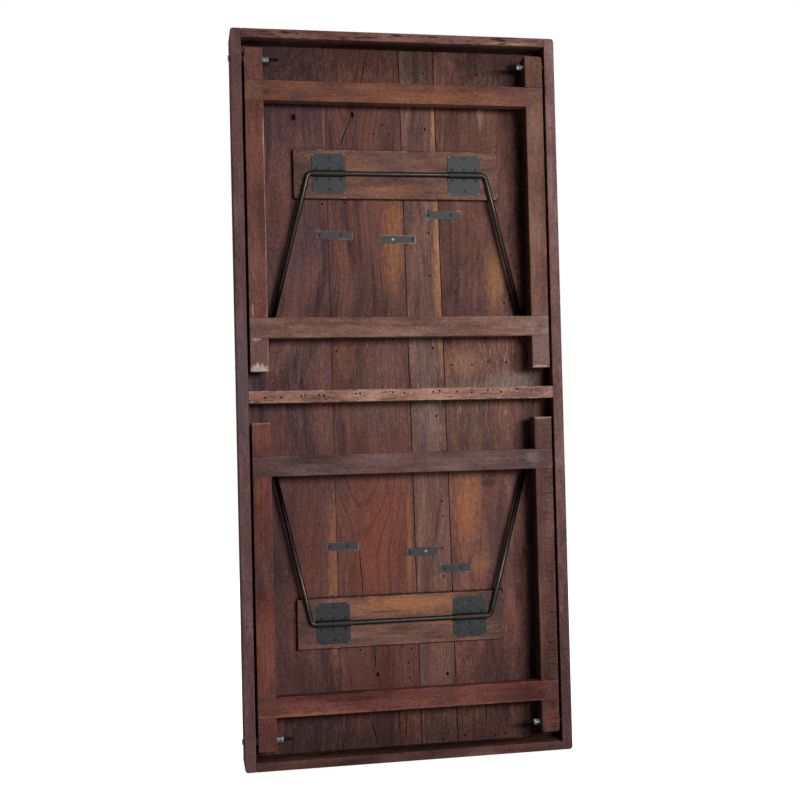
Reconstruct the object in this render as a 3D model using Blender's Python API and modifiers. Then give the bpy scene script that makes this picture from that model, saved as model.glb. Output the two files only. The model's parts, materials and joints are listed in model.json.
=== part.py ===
"""Folding dining table of reclaimed hardwood, folded and standing on one short end.

The underside faces -Y and the show face of the planks faces +Y. The length runs along Z, the width along X.
Each half of the underside holds a leg frame that turns on two bolts near the table's end, and a steel brace
that turns under two saddles. The leg frames set the length, width and depth of the apron they fold into.
Units are metres.
"""
import math

import bmesh
import bpy
from mathutils import Matrix, Vector

# Clearances
SEAT_GAP = 0.0003
HOLE_CLEARANCE = 0.0003
SEAM_GAP = 0.0008
OVERCUT = 0.005

# Leg frames
LEG_WIDTH = 0.690
POST_LENGTH = 0.725
POST_WIDTH = 0.041
POST_DEPTH = 0.041
HEAD_OVERHANG = 0.021
HEAD_CORNER_RADIUS = 0.007
FOOT_OVERHANG = 0.0745
PIVOT_RAIL_OFFSET = 0.0745
LEG_RAIL_HEIGHT = 0.045
LEG_RAIL_DEPTH = 0.028
LAP_DEPTH = 0.0195

# Apron and planks
SIDE_RAIL_THICKNESS = 0.024
END_RAIL_THICKNESS = 0.020
SIDE_RABBET = 0.012
END_RABBET = 0.010
CROSSBAR_HEIGHT = 0.027
PLANK_THICKNESS = 0.022
PLANK_WIDTHS_AT_TOP = (0.204, 0.175, 0.083)
PLANK_WIDTHS_AT_BOTTOM = (0.212, 0.185, 0.086)
SIDE_GAP = 0.006
HEAD_GAP = 0.023
FOOT_GAP = 0.0435
TABLE_CORNER_RADIUS = 0.007
EDGE_ROUND = 0.0016

# Braces, saddles and cleats
ROD_DIAMETER = 0.011
ROD_BEND_RADIUS = 0.012
BRACE_FROM_PIVOT = {"upper": 0.250, "lower": 0.2455}
BRACE_GAP = 0.0124
BRACE_SHIFT = {"upper": 0.005, "lower": -0.008}
ARM_SIDE_GAP = 0.004
HOOK_FROM_PIVOT = 0.2238
HOOK_HOLE_DEPTH = 0.015
HOOK_HOLE_CLEARANCE = 0.001
SADDLE_WIDTH = 0.077
SADDLE_FLANGE = 0.039
SADDLE_THICKNESS = 0.0015
SADDLE_CLEARANCE = 0.0005
SADDLE_CORNER_RADIUS = 0.006
SADDLE_SETBACK = 0.1065
SADDLE_BEND_GAP = 0.001
CLEAT_THICKNESS = 0.012
CLEAT_SIDE_MARGIN = 0.0095
CLEAT_END_MARGIN = 0.0425
CLEAT_CORNER_RADIUS = 0.009

# Mending plates: half of the table, distance from its cleat, seam crossed, offset right, tilt in degrees
PLATE_LENGTH = {"upper": 0.084, "lower": 0.074}
PLATE_WIDTH = 0.019
PLATE_THICKNESS = 0.002
PLATES = (
    ("upper", 0.083, 1, 0.014, 1.0),
    ("upper", 0.0925, 2, -0.016, 0.5),
    ("upper", 0.035, 3, 0.010, -1.0),
    ("lower", 0.1165, 1, 0.013, 1.0),
    ("lower", 0.097, 2, 0.018, -3.0),
    ("lower", 0.0555, 3, 0.009, 1.5),
)

# Pivot bolts
BOLT_DIAMETER = 0.008
BOLT_HEAD_DIAMETER = 0.020
BOLT_HEAD_HEIGHT = 0.005
BOLT_NECK_LENGTH = 0.005
BOLT_NECK_ROOT = 0.001
BOLT_CHAMFER = 0.001
THREAD_PROJECTION = 0.022
SPACER_DIAMETER = 0.024
WASHER_DIAMETER = 0.018
WASHER_THICKNESS = 0.0016
NUT_ACROSS_FLATS = 0.013
NUT_HEIGHT = 0.0065
NUT_EDGE = 0.0004

# Lap screws
SCREW_DIAMETER = 0.004
SCREW_HEAD_DIAMETER = 0.008
SCREW_SINK = 0.001
SCREW_COVER = 0.005

# Fineness of round shapes
ROD_FACETS = 16
BEND_STEPS = 8
KNUCKLE_STEPS = 12
ROUND_STEPS = 24
DOME_STEPS = 5
SCREW_STEPS = 16
CORNER_STEPS = 4
EDGE_STEPS = 2
ROUND_PROFILE = 0.5
HARD_EDGE_DEGREES = 35
WELD_DISTANCE = 0.00001

# Sizes that follow: the apron is as long, wide and deep as what folds into it
TABLE_LENGTH = 2 * (END_RAIL_THICKNESS + HEAD_GAP + POST_LENGTH + FOOT_GAP) + CROSSBAR_HEIGHT
TABLE_WIDTH = LEG_WIDTH + 2 * (SIDE_GAP + SIDE_RAIL_THICKNESS)
RECESS_DEPTH = LEG_RAIL_DEPTH + BRACE_GAP + ROD_DIAMETER + SEAT_GAP + CLEAT_THICKNESS + SEAT_GAP
APRON_DEPTH = RECESS_DEPTH + PLANK_THICKNESS
INNER_WIDTH = TABLE_WIDTH - 2 * SIDE_RAIL_THICKNESS
FRONT_Y = -APRON_DEPTH / 2
PLANK_Y = FRONT_Y + RECESS_DEPTH
BACK_Y = FRONT_Y + APRON_DEPTH
MID_Z = TABLE_LENGTH / 2
FIELD_HALF_WIDTH = INNER_WIDTH / 2 + SIDE_RABBET
FIELD_BOTTOM = END_RAIL_THICKNESS - END_RABBET
FIELD_TOP = TABLE_LENGTH - FIELD_BOTTOM

PIVOT_FROM_END = END_RAIL_THICKNESS + HEAD_GAP + HEAD_OVERHANG
PIVOT_Y = FRONT_Y + POST_DEPTH / 2
POST_OUTER_X = LEG_WIDTH / 2
POST_X = POST_OUTER_X - POST_WIDTH / 2
LEG_INNER_HALF = POST_OUTER_X - POST_WIDTH
FOOT_RAIL_OFFSET = POST_LENGTH - HEAD_OVERHANG - FOOT_OVERHANG - LEG_RAIL_HEIGHT / 2
LEG_RAIL_OFFSETS = {"pivot": PIVOT_RAIL_OFFSET, "foot": FOOT_RAIL_OFFSET}
SCREW_LENGTH = POST_DEPTH - SCREW_SINK - SCREW_COVER

ROD_RADIUS = ROD_DIAMETER / 2
CLEAT_FACE_Y = PLANK_Y - SEAT_GAP - CLEAT_THICKNESS
ROD_Y = CLEAT_FACE_Y - SEAT_GAP - ROD_RADIUS
HOOK_HEIGHT = HOOK_FROM_PIVOT + ROD_Y - PIVOT_Y
BRACE_FROM_END = {half: PIVOT_FROM_END + span for half, span in BRACE_FROM_PIVOT.items()}
BRACE_REACH = {half: math.hypot(span, HOOK_HEIGHT) for half, span in BRACE_FROM_PIVOT.items()}
BRACE_END_HALF = LEG_INNER_HALF - ARM_SIDE_GAP - ROD_RADIUS
SADDLE_OUTER_HALF = LEG_INNER_HALF - SADDLE_SETBACK
SADDLE_X = SADDLE_OUTER_HALF - SADDLE_WIDTH / 2
BEND_START_HALF = SADDLE_OUTER_HALF + SADDLE_BEND_GAP
KNUCKLE_INNER_RADIUS = ROD_RADIUS + SADDLE_CLEARANCE
KNUCKLE_OUTER_RADIUS = KNUCKLE_INNER_RADIUS + SADDLE_THICKNESS
SADDLE_HALF_HEIGHT = KNUCKLE_OUTER_RADIUS + SADDLE_FLANGE
CLEAT_HALF_HEIGHT = SADDLE_HALF_HEIGHT + CLEAT_SIDE_MARGIN
CLEAT_LENGTH = 2 * (SADDLE_OUTER_HALF + CLEAT_END_MARGIN)

BOLT_RADIUS = BOLT_DIAMETER / 2
BOLT_HOLE_RADIUS = BOLT_RADIUS + HOLE_CLEARANCE
NECK_WIDTH = BOLT_DIAMETER
WASHER_X = LEG_INNER_HALF - SEAT_GAP
NUT_X = WASHER_X - WASHER_THICKNESS - SEAT_GAP
LOCK_NUT_X = NUT_X - NUT_HEIGHT - SEAT_GAP
BOLT_END_X = LOCK_NUT_X - NUT_HEIGHT - THREAD_PROJECTION
BOLT_SEAT_X = TABLE_WIDTH / 2 + SEAT_GAP
BOLT_LENGTH = BOLT_SEAT_X - BOLT_END_X

HALVES = {"upper": 1, "lower": -1}
SIDES = {"left": -1, "right": 1}

for old in list(bpy.data.objects):
    bpy.data.objects.remove(old, do_unlink=True)

PARTS = bpy.data.collections.new("folding_dining_table")
CUTTERS = bpy.data.collections.new("cutters")
bpy.context.scene.collection.children.link(PARTS)
bpy.context.scene.collection.children.link(CUTTERS)


def linear(channel):
    """One sRGB channel, 0 to 255, as a linear value."""
    value = channel / 255
    return value / 12.92 if value <= 0.04045 else ((value + 0.055) / 1.055) ** 2.4


def finish(name, red, green, blue, roughness, metallic=0.0):
    """A plain material of one colour, given in sRGB."""
    made = bpy.data.materials.new(name)
    made.use_nodes = True
    shader = made.node_tree.nodes["Principled BSDF"]
    shader.inputs["Base Color"].default_value = (linear(red), linear(green), linear(blue), 1.0)
    shader.inputs["Roughness"].default_value = roughness
    shader.inputs["Metallic"].default_value = metallic
    return made


RAIL_WOOD = finish("apron_hardwood", 84, 60, 54, 0.55)
PLANK_WOOD = finish("plank_hardwood", 92, 61, 50, 0.55)
LEG_WOOD = finish("leg_hardwood", 112, 72, 56, 0.5)
BAR_WOOD = finish("crossbar_hardwood", 128, 88, 66, 0.6)
CLEAT_WOOD = finish("cleat_hardwood", 108, 70, 54, 0.55)
BLACK_STEEL = finish("blackened_steel", 66, 68, 68, 0.45, 0.9)
BOLT_STEEL = finish("dull_bolt_steel", 74, 72, 70, 0.5, 0.9)
ZINC_STEEL = finish("zinc_plated_steel", 170, 168, 162, 0.35, 1.0)


def half_z(half, from_end):
    """Height of a place that lies from_end away from the table's upper or lower end."""
    return MID_Z + HALVES[half] * (MID_Z - from_end)


def add_part(name, data, material, location, parent=None):
    """A named sub-part at a world location, under a joint's empty if it moves."""
    part = bpy.data.objects.new(name, data)
    data.materials.append(material)
    PARTS.objects.link(part)
    part.location = location
    if parent is not None:
        part.parent = parent
        part.location = Vector(location) - parent.location
    return part


def add_cutter(name, data, location=(0, 0, 0)):
    """A guide solid that cuts or shapes a sub-part and isn't one itself."""
    guide = bpy.data.objects.new(name, data)
    CUTTERS.objects.link(guide)
    guide.location = location
    guide.hide_render = True
    guide.display_type = "WIRE"
    return guide


def add_joint_empty(name, location):
    """An empty on a joint's axis."""
    empty = bpy.data.objects.new(name, None)
    PARTS.objects.link(empty)
    empty.location = location
    return empty


def combine(part, guide, operation="DIFFERENCE"):
    """Adds a Boolean of part and guide."""
    boolean = part.modifiers.new(guide.name, "BOOLEAN")
    boolean.operation = operation
    boolean.object = guide


def round_edges(part, width):
    """Eases every sharp edge of a sub-part."""
    bevel = part.modifiers.new("eased_edges", "BEVEL")
    bevel.width = width
    bevel.segments = EDGE_STEPS
    bevel.limit_method = "ANGLE"


def box_mesh(name, size):
    """A box of the given size about the origin."""
    mesh = bpy.data.meshes.new(name)
    shape = bmesh.new()
    bmesh.ops.create_cube(shape, size=1.0)
    bmesh.ops.scale(shape, vec=size, verts=shape.verts)
    shape.to_mesh(mesh)
    shape.free()
    return mesh


def prism_mesh(name, radius, length, sides):
    """A round or many-sided bar along Z about the origin."""
    mesh = bpy.data.meshes.new(name)
    shape = bmesh.new()
    bmesh.ops.create_cone(
        shape, cap_ends=True, segments=sides, radius1=radius, radius2=radius, depth=length
    )
    shape.to_mesh(mesh)
    shape.free()
    return mesh


def box_cutter(name, low, high):
    """A cutting box between two corners."""
    low = Vector(low)
    high = Vector(high)
    return add_cutter(name, box_mesh(name, high - low), (low + high) / 2)


def drill(name, radius, sign, inner_x, outer_x, z):
    """A cutter for a round hole along X, at the pivots' depth, on the left or right of the table."""
    mesh = prism_mesh(name, radius, outer_x - inner_x, ROUND_STEPS)
    hole = add_cutter(name, mesh, (sign * (inner_x + outer_x) / 2, PIVOT_Y, z))
    face_outward(hole, sign)
    return hole


def face_outward(part, sign):
    """Turns a part that was made along Z so that its +Z end faces out of the table's side."""
    part.rotation_euler.y = math.radians(90 * sign)


def board(name, size, centre, material, parent=None):
    """A plain board with eased edges."""
    part = add_part(name, box_mesh(name, size), material, centre, parent)
    round_edges(part, EDGE_ROUND)
    return part


def round_corners(mesh, radius, chosen):
    """Rounds those corners of a box that run along Y and whose x and z are chosen."""
    shape = bmesh.new()
    shape.from_mesh(mesh)
    corners = []
    for edge in shape.edges:
        first, second = (vert.co for vert in edge.verts)
        along_y = abs(first.x - second.x) + abs(first.z - second.z) < WELD_DISTANCE
        if along_y and chosen(first.x, first.z):
            corners.append(edge)
    bmesh.ops.bevel(
        shape, geom=corners, offset=radius, segments=CORNER_STEPS, profile=ROUND_PROFILE, affect="EDGES"
    )
    shape.to_mesh(mesh)
    shape.free()


def turned_mesh(name, profile, closed=False):
    """A profile of (radius, height) points, running down its outer side, ready for a Screw about Z."""
    mesh = bpy.data.meshes.new(name)
    shape = bmesh.new()
    points = [shape.verts.new((radius, 0, height)) for radius, height in profile]
    for first, second in zip(points, points[1:]):
        shape.edges.new((first, second))
    if closed:
        shape.edges.new((points[-1], points[0]))
    shape.to_mesh(mesh)
    shape.free()
    return mesh


def spin(part, steps):
    """Turns a profile right round the local Z axis."""
    screw = part.modifiers.new("turned", "SCREW")
    screw.steps = steps
    screw.render_steps = steps
    screw.use_merge_vertices = True
    screw.merge_threshold = WELD_DISTANCE
    screw.use_smooth_shade = True


def shade_round(mesh):
    """Smooth shading with the hard edges kept."""
    mesh.shade_smooth()
    mesh.set_sharp_from_angle(angle=math.radians(HARD_EDGE_DEGREES))


def mesh_of(curve_object):
    """A closed mesh of a curve object, with its loose caps welded on. The curve is removed."""
    bpy.context.view_layer.update()
    evaluated = curve_object.evaluated_get(bpy.context.evaluated_depsgraph_get())
    mesh = bpy.data.meshes.new_from_object(evaluated)
    shape = bmesh.new()
    shape.from_mesh(mesh)
    bmesh.ops.remove_doubles(shape, verts=shape.verts, dist=WELD_DISTANCE)
    bmesh.ops.recalc_face_normals(shape, faces=shape.faces)
    shape.to_mesh(mesh)
    shape.free()
    bpy.data.objects.remove(curve_object, do_unlink=True)
    return mesh


def outline_mesh(name, points, thickness):
    """A flat closed outline in local X and Y, extruded evenly about Z."""
    curve = bpy.data.curves.new(name, "CURVE")
    curve.dimensions = "2D"
    curve.fill_mode = "BOTH"
    curve.extrude = thickness / 2
    spline = curve.splines.new("POLY")
    spline.points.add(len(points) - 1)
    for slot, (x, y) in zip(spline.points, points):
        slot.co = (x, y, 0, 1)
    spline.use_cyclic_u = True
    return mesh_of(add_cutter(name, curve))


def arc(centre, radius, start, end, steps):
    """Points on an arc, from start to end in degrees, both included."""
    turns = [math.radians(start + (end - start) * i / steps) for i in range(steps + 1)]
    return [(centre[0] + radius * math.cos(t), centre[1] + radius * math.sin(t)) for t in turns]


def seam_x(seam, z):
    """Where a plank seam lies at a height. Seam 0 is the planks' left edge, and the last their right edge."""
    if seam > len(PLANK_WIDTHS_AT_TOP):
        return FIELD_HALF_WIDTH
    at_top = sum(PLANK_WIDTHS_AT_TOP[:seam])
    at_bottom = sum(PLANK_WIDTHS_AT_BOTTOM[:seam])
    share = (z - FIELD_BOTTOM) / (FIELD_TOP - FIELD_BOTTOM)
    return -FIELD_HALF_WIDTH + at_bottom + (at_top - at_bottom) * share


def make_bolt_holes():
    """One cutter at each corner for its pivot bolt, through the side rail, the post and the nuts."""
    holes = {}
    for half in HALVES:
        z = half_z(half, PIVOT_FROM_END)
        for side, sign in SIDES.items():
            name = f"{half}_{side}_bolt_hole"
            holes[half, side] = drill(name, BOLT_HOLE_RADIUS, sign, BOLT_END_X, BOLT_SEAT_X + OVERCUT, z)
    return holes


def make_apron(bolt_holes):
    """Two side rails, two end rails between them and the crossbar, rabbeted for the planks."""
    rabbet = box_cutter(
        "plank_rabbet",
        (-FIELD_HALF_WIDTH - SEAT_GAP, PLANK_Y, FIELD_BOTTOM - SEAT_GAP),
        (FIELD_HALF_WIDTH + SEAT_GAP, BACK_Y + OVERCUT, FIELD_TOP + SEAT_GAP),
    )
    for side, sign in SIDES.items():
        size = (SIDE_RAIL_THICKNESS, APRON_DEPTH, TABLE_LENGTH)
        centre = (sign * (TABLE_WIDTH - SIDE_RAIL_THICKNESS) / 2, 0, MID_Z)
        rail = board(f"{side}_side_rail", size, centre, RAIL_WOOD)
        round_corners(rail.data, TABLE_CORNER_RADIUS, lambda x, z: x * sign > 0)
        combine(rail, rabbet)
        for half in HALVES:
            combine(rail, bolt_holes[half, side])
            combine(rail, neck_hole(f"{half}_{side}_neck_hole", half, sign))
    between_rails = INNER_WIDTH - 2 * SEAT_GAP
    end_size = (between_rails, APRON_DEPTH, END_RAIL_THICKNESS)
    for end, z in (("top", TABLE_LENGTH - END_RAIL_THICKNESS / 2), ("bottom", END_RAIL_THICKNESS / 2)):
        combine(board(f"{end}_end_rail", end_size, (0, 0, z), RAIL_WOOD), rabbet)
    bar_depth = RECESS_DEPTH - SEAT_GAP
    bar_size = (between_rails, bar_depth, CROSSBAR_HEIGHT)
    board("crossbar", bar_size, (0, FRONT_Y + bar_depth / 2, MID_Z), BAR_WOOD)


def neck_hole(name, half, sign):
    """A cutter for the square pocket that keeps a pivot bolt from turning."""
    z = half_z(half, PIVOT_FROM_END)
    reach = NECK_WIDTH / 2 + HOLE_CLEARANCE
    inside = BOLT_SEAT_X - BOLT_NECK_LENGTH - HOLE_CLEARANCE
    outside = BOLT_SEAT_X + OVERCUT
    low_x, high_x = sorted((sign * inside, sign * outside))
    return box_cutter(name, (low_x, PIVOT_Y - reach, z - reach), (high_x, PIVOT_Y + reach, z + reach))


def make_planks():
    """The tapered planks of the top, side by side in the rabbets."""
    thickness = PLANK_THICKNESS - SEAT_GAP
    length = FIELD_TOP - FIELD_BOTTOM
    count = len(PLANK_WIDTHS_AT_TOP) + 1
    for number in range(1, count + 1):
        mesh = box_mesh(f"plank_{number}", (1, thickness, length))
        left_gap = 0 if number == 1 else SEAM_GAP / 2
        right_gap = 0 if number == count else SEAM_GAP / 2
        for vert in mesh.vertices:
            z = vert.co.z + MID_Z
            if vert.co.x < 0:
                vert.co.x = seam_x(number - 1, z) + left_gap
            else:
                vert.co.x = seam_x(number, z) - right_gap
        add_part(f"plank_{number}", mesh, PLANK_WOOD, (0, BACK_Y - thickness / 2, MID_Z))


def make_mending_plates():
    """Small flat steel plates that hold neighbouring planks together across their seams."""
    for number, (half, from_cleat, seam, offset, tilt) in enumerate(PLATES, start=1):
        z = half_z(half, BRACE_FROM_END[half] + CLEAT_HALF_HEIGHT + from_cleat)
        size = (PLATE_LENGTH[half], PLATE_THICKNESS, PLATE_WIDTH)
        name = f"mending_plate_{number}"
        centre = (seam_x(seam, z) + offset, PLANK_Y - PLATE_THICKNESS / 2, z)
        plate = add_part(name, box_mesh(name, size), BLACK_STEEL, centre)
        plate.rotation_euler.y = math.radians(tilt)


def make_pivots(bolt_holes):
    """At each corner: a carriage bolt, a spacer between rail and post, a washer, a nut and a lock nut."""
    spacer_thickness = SIDE_GAP - 2 * SEAT_GAP
    spacer_x = POST_OUTER_X + SIDE_GAP / 2
    washer_x = WASHER_X - WASHER_THICKNESS / 2
    for half in HALVES:
        z = half_z(half, PIVOT_FROM_END)
        for side, sign in SIDES.items():
            corner = f"{half}_{side}"
            seat = (sign * BOLT_SEAT_X, PIVOT_Y, z)
            bolt = add_part(f"{corner}_pivot_bolt", turned_mesh(corner, bolt_profile()), BOLT_STEEL, seat)
            spin(bolt, ROUND_STEPS)
            face_outward(bolt, sign)
            combine(bolt, bolt_neck(f"{corner}_neck", sign, z), "UNION")
            add_ring(f"{corner}_spacer", SPACER_DIAMETER, spacer_thickness, sign, spacer_x, z, BOLT_STEEL)
            add_ring(f"{corner}_washer", WASHER_DIAMETER, WASHER_THICKNESS, sign, washer_x, z, ZINC_STEEL)
            for name, outer_x in (("nut", NUT_X), ("lock_nut", LOCK_NUT_X)):
                nut = add_nut(f"{corner}_{name}", sign, outer_x - NUT_HEIGHT / 2, z)
                combine(nut, bolt_holes[half, side])


def bolt_profile():
    """A carriage bolt's low dome and long shank, with the head's underside at height 0."""
    head_radius = BOLT_HEAD_DIAMETER / 2
    rim = arc((0, 0), head_radius, 90, 0, DOME_STEPS)[1:]
    dome = [(0, BOLT_HEAD_HEIGHT)]
    dome += [(radius, height * BOLT_HEAD_HEIGHT / head_radius) for radius, height in rim]
    shank = [
        (BOLT_RADIUS, 0),
        (BOLT_RADIUS, BOLT_CHAMFER - BOLT_LENGTH),
        (BOLT_RADIUS - BOLT_CHAMFER, -BOLT_LENGTH),
        (0, -BOLT_LENGTH),
    ]
    return dome + shank


def bolt_neck(name, sign, z):
    """The square neck under a bolt's head, rooted in the head and joined to the bolt."""
    size = (BOLT_NECK_LENGTH + BOLT_NECK_ROOT, NECK_WIDTH, NECK_WIDTH)
    x = BOLT_SEAT_X + BOLT_NECK_ROOT - size[0] / 2
    return add_cutter(name, box_mesh(name, size), (sign * x, PIVOT_Y, z))


def add_ring(name, diameter, thickness, sign, x, z, material):
    """A flat steel ring on a pivot bolt."""
    outer = diameter / 2
    edge = thickness / 2
    profile = [(outer, edge), (outer, -edge), (BOLT_HOLE_RADIUS, -edge), (BOLT_HOLE_RADIUS, edge)]
    ring = add_part(name, turned_mesh(name, profile, closed=True), material, (sign * x, PIVOT_Y, z))
    spin(ring, ROUND_STEPS)
    face_outward(ring, sign)


def add_nut(name, sign, x, z):
    """A hexagonal nut on a pivot bolt, not yet bored."""
    mesh = prism_mesh(name, NUT_ACROSS_FLATS / math.sqrt(3), NUT_HEIGHT, 6)
    nut = add_part(name, mesh, ZINC_STEEL, (sign * x, PIVOT_Y, z))
    face_outward(nut, sign)
    round_edges(nut, NUT_EDGE)
    return nut


def make_leg(half, bolt_holes):
    """One leg frame: two posts, and two rails half-lapped across them and screwed."""
    sign_z = HALVES[half]
    pivot_z = half_z(half, PIVOT_FROM_END)
    pivot = add_joint_empty(f"{half}_leg_pivot", (0, PIVOT_Y, pivot_z))
    post_z = pivot_z + sign_z * (HEAD_OVERHANG - POST_LENGTH / 2)
    post_size = (POST_WIDTH, POST_DEPTH, POST_LENGTH)
    rail_size = (LEG_WIDTH, LEG_RAIL_DEPTH, LEG_RAIL_HEIGHT)
    rail_y = FRONT_Y + LEG_RAIL_DEPTH / 2
    rail_z = {rail: pivot_z - sign_z * offset for rail, offset in LEG_RAIL_OFFSETS.items()}
    beams = {rail: board(f"{half}_leg_{rail}_rail", rail_size, (0, rail_y, z), LEG_WOOD, pivot)
             for rail, z in rail_z.items()}
    for side, sign in SIDES.items():
        centre = (sign * POST_X, PIVOT_Y, post_z)
        post = board(f"{half}_{side}_post", post_size, centre, LEG_WOOD, pivot)
        if side == "right":
            round_corners(post.data, HEAD_CORNER_RADIUS, lambda x, z: x > 0 and z * sign_z > 0)
        for rail, z in rail_z.items():
            joint = f"{half}_{side}_{rail}"
            combine(post, lap_notch(f"{joint}_notch", sign, z))
            combine(beams[rail], lap_relief(f"{joint}_relief", sign, z))
            hole = add_lap_screw(f"{joint}_lap_screw", (sign * POST_X, FRONT_Y + SCREW_SINK, z), pivot)
            combine(beams[rail], hole)
            combine(post, hole)
        combine(post, bolt_holes[half, side])
        combine(post, hook_hole(f"{half}_{side}_hook_hole", sign, pivot_z - sign_z * HOOK_FROM_PIVOT))


def add_lap_screw(name, place, parent):
    """A countersunk screw through a half lap. The cutter for its hole is returned."""
    screw = add_part(name, turned_mesh(name, screw_profile(0, 0)), BLACK_STEEL, place, parent)
    hole_profile = screw_profile(HOLE_CLEARANCE, SCREW_SINK + OVERCUT)
    hole = add_cutter(f"{name}_hole", turned_mesh(f"{name}_hole", hole_profile), place)
    for turned in (screw, hole):
        spin(turned, SCREW_STEPS)
        turned.rotation_euler.x = math.radians(90)
    return hole


def screw_profile(clearance, rise):
    """A countersunk screw, head up along Z, or with a clearance and a rise the hole for one."""
    head = SCREW_HEAD_DIAMETER / 2 + clearance
    shank = SCREW_DIAMETER / 2 + clearance
    tip = SCREW_DIAMETER / 2
    end = -SCREW_LENGTH - clearance
    outer = [(head, 0), (shank, shank - head), (shank, end + tip), (0, end)]
    if rise:
        return [(0, rise), (head, rise)] + outer
    return [(0, 0)] + outer


def lap_notch(name, sign, z):
    """A cutter for the half of a post that its rail takes up."""
    reach = LEG_RAIL_HEIGHT / 2 + SEAT_GAP
    middle = sign * POST_X
    wide = POST_WIDTH / 2 + OVERCUT
    low = (middle - wide, FRONT_Y - OVERCUT, z - reach)
    high = (middle + wide, FRONT_Y + LAP_DEPTH + SEAT_GAP, z + reach)
    return box_cutter(name, low, high)


def lap_relief(name, sign, z):
    """A cutter for the back of a rail's end, where the post runs behind it."""
    inner = sign * (LEG_INNER_HALF - SEAT_GAP)
    outer = sign * (POST_OUTER_X + OVERCUT)
    low_x, high_x = sorted((inner, outer))
    reach = LEG_RAIL_HEIGHT / 2 + OVERCUT
    low = (low_x, FRONT_Y + LAP_DEPTH, z - reach)
    high = (high_x, FRONT_Y + LEG_RAIL_DEPTH + OVERCUT, z + reach)
    return box_cutter(name, low, high)


def hook_hole(name, sign, z):
    """A cutter for the blind hole in a post's inner face that takes a brace's end when the leg is open."""
    radius = ROD_RADIUS + HOOK_HOLE_CLEARANCE
    return drill(name, radius, sign, LEG_INNER_HALF - OVERCUT, LEG_INNER_HALF + HOOK_HOLE_DEPTH, z)


def make_brace(half):
    """One steel rod bent to a trapezoid U. Its base turns under the saddles."""
    base = Vector((0, ROD_Y, half_z(half, BRACE_FROM_END[half])))
    path = arm_path(half, -1)[::-1] + arm_path(half, 1)
    curve = bpy.data.curves.new(f"{half}_brace", "CURVE")
    curve.dimensions = "3D"
    curve.bevel_depth = ROD_RADIUS
    curve.bevel_resolution = (ROD_FACETS - 4) // 2
    curve.use_fill_caps = True
    spline = curve.splines.new("POLY")
    spline.points.add(len(path) - 1)
    for slot, (x, z) in zip(spline.points, path):
        slot.co = (x, 0, z, 1)
    axis = add_joint_empty(f"{half}_brace_axis", base)
    mesh = mesh_of(add_cutter(f"{half}_brace_path", curve))
    shade_round(mesh)
    add_part(f"{half}_brace", mesh, BLACK_STEEL, base, axis)


def arm_path(half, sign):
    """Half of a brace's line, from its base round the bend beside the saddle to the arm's end.

    The arm is the tangent from its end to the bend's circle, which starts where the base ends.
    """
    centre = Vector((BEND_START_HALF + sign * BRACE_SHIFT[half], -ROD_BEND_RADIUS))
    end = Vector((BRACE_END_HALF, -BRACE_REACH[half]))
    to_end = end - centre
    tangent = math.atan2(to_end.y, to_end.x) + math.acos(ROD_BEND_RADIUS / to_end.length)
    points = arc(centre, ROD_BEND_RADIUS, 90, math.degrees(tangent), BEND_STEPS) + [end]
    return [(sign * x, HALVES[half] * z) for x, z in points]


def make_cleat(half):
    """The wooden cleat on the planks and the two pressed saddles on it."""
    shift = BRACE_SHIFT[half]
    z = half_z(half, BRACE_FROM_END[half])
    size = (CLEAT_LENGTH, CLEAT_THICKNESS, 2 * CLEAT_HALF_HEIGHT)
    cleat = board(f"{half}_cleat", size, (shift, CLEAT_FACE_Y + CLEAT_THICKNESS / 2, z), CLEAT_WOOD)
    round_corners(cleat.data, CLEAT_CORNER_RADIUS, lambda x, z: x > 0)
    # A saddle's section has its X along the table, its Y out of the underside and its depth along the rod
    upright = Matrix(((0, 0, 1), (0, -1, 0), (1, 0, 0))).to_euler()
    for side, sign in SIDES.items():
        name = f"{half}_{side}_saddle"
        place = (shift + sign * SADDLE_X, CLEAT_FACE_Y, z)
        sheet = outline_mesh(f"{name}_sheet", saddle_section(), SADDLE_WIDTH)
        saddle = add_part(name, sheet, BLACK_STEEL, place)
        saddle.rotation_euler = upright
        combine(saddle, saddle_outline(f"{name}_outline", place), "INTERSECT")


def saddle_section():
    """A saddle seen along the rod: two flanges on the cleat and a half-round knuckle over the rod."""
    inner = KNUCKLE_INNER_RADIUS
    outer = KNUCKLE_OUTER_RADIUS
    edge = SADDLE_HALF_HEIGHT
    under = SEAT_GAP
    face = SEAT_GAP + SADDLE_THICKNESS
    rod_height = SEAT_GAP + ROD_RADIUS
    inside = [(-edge, under), (-inner, under)]
    inside += arc((0, rod_height), inner, 180, 0, KNUCKLE_STEPS)
    inside += [(inner, under), (edge, under)]
    outside = [(edge, face), (outer, face)]
    outside += arc((0, rod_height), outer, 0, 180, KNUCKLE_STEPS)
    outside += [(-outer, face), (-edge, face)]
    return inside + outside


def saddle_outline(name, place):
    """The round-cornered rectangle that a saddle is cut to."""
    corner_x = SADDLE_WIDTH / 2 - SADDLE_CORNER_RADIUS
    corner_y = SADDLE_HALF_HEIGHT - SADDLE_CORNER_RADIUS
    points = []
    for turn, (x, y) in enumerate(((1, 1), (-1, 1), (-1, -1), (1, -1))):
        centre = (x * corner_x, y * corner_y)
        points += arc(centre, SADDLE_CORNER_RADIUS, 90 * turn, 90 * turn + 90, CORNER_STEPS)
    depth = 2 * (ROD_DIAMETER + SADDLE_THICKNESS + OVERCUT)
    outline = add_cutter(name, outline_mesh(f"{name}_flat", points, depth), place)
    outline.rotation_euler.x = math.radians(90)
    return outline


corner_holes = make_bolt_holes()
make_apron(corner_holes)
make_planks()
make_mending_plates()
make_pivots(corner_holes)
for table_half in HALVES:
    make_leg(table_half, corner_holes)
    make_cleat(table_half)
    make_brace(table_half)
bpy.context.view_layer.update()
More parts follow.
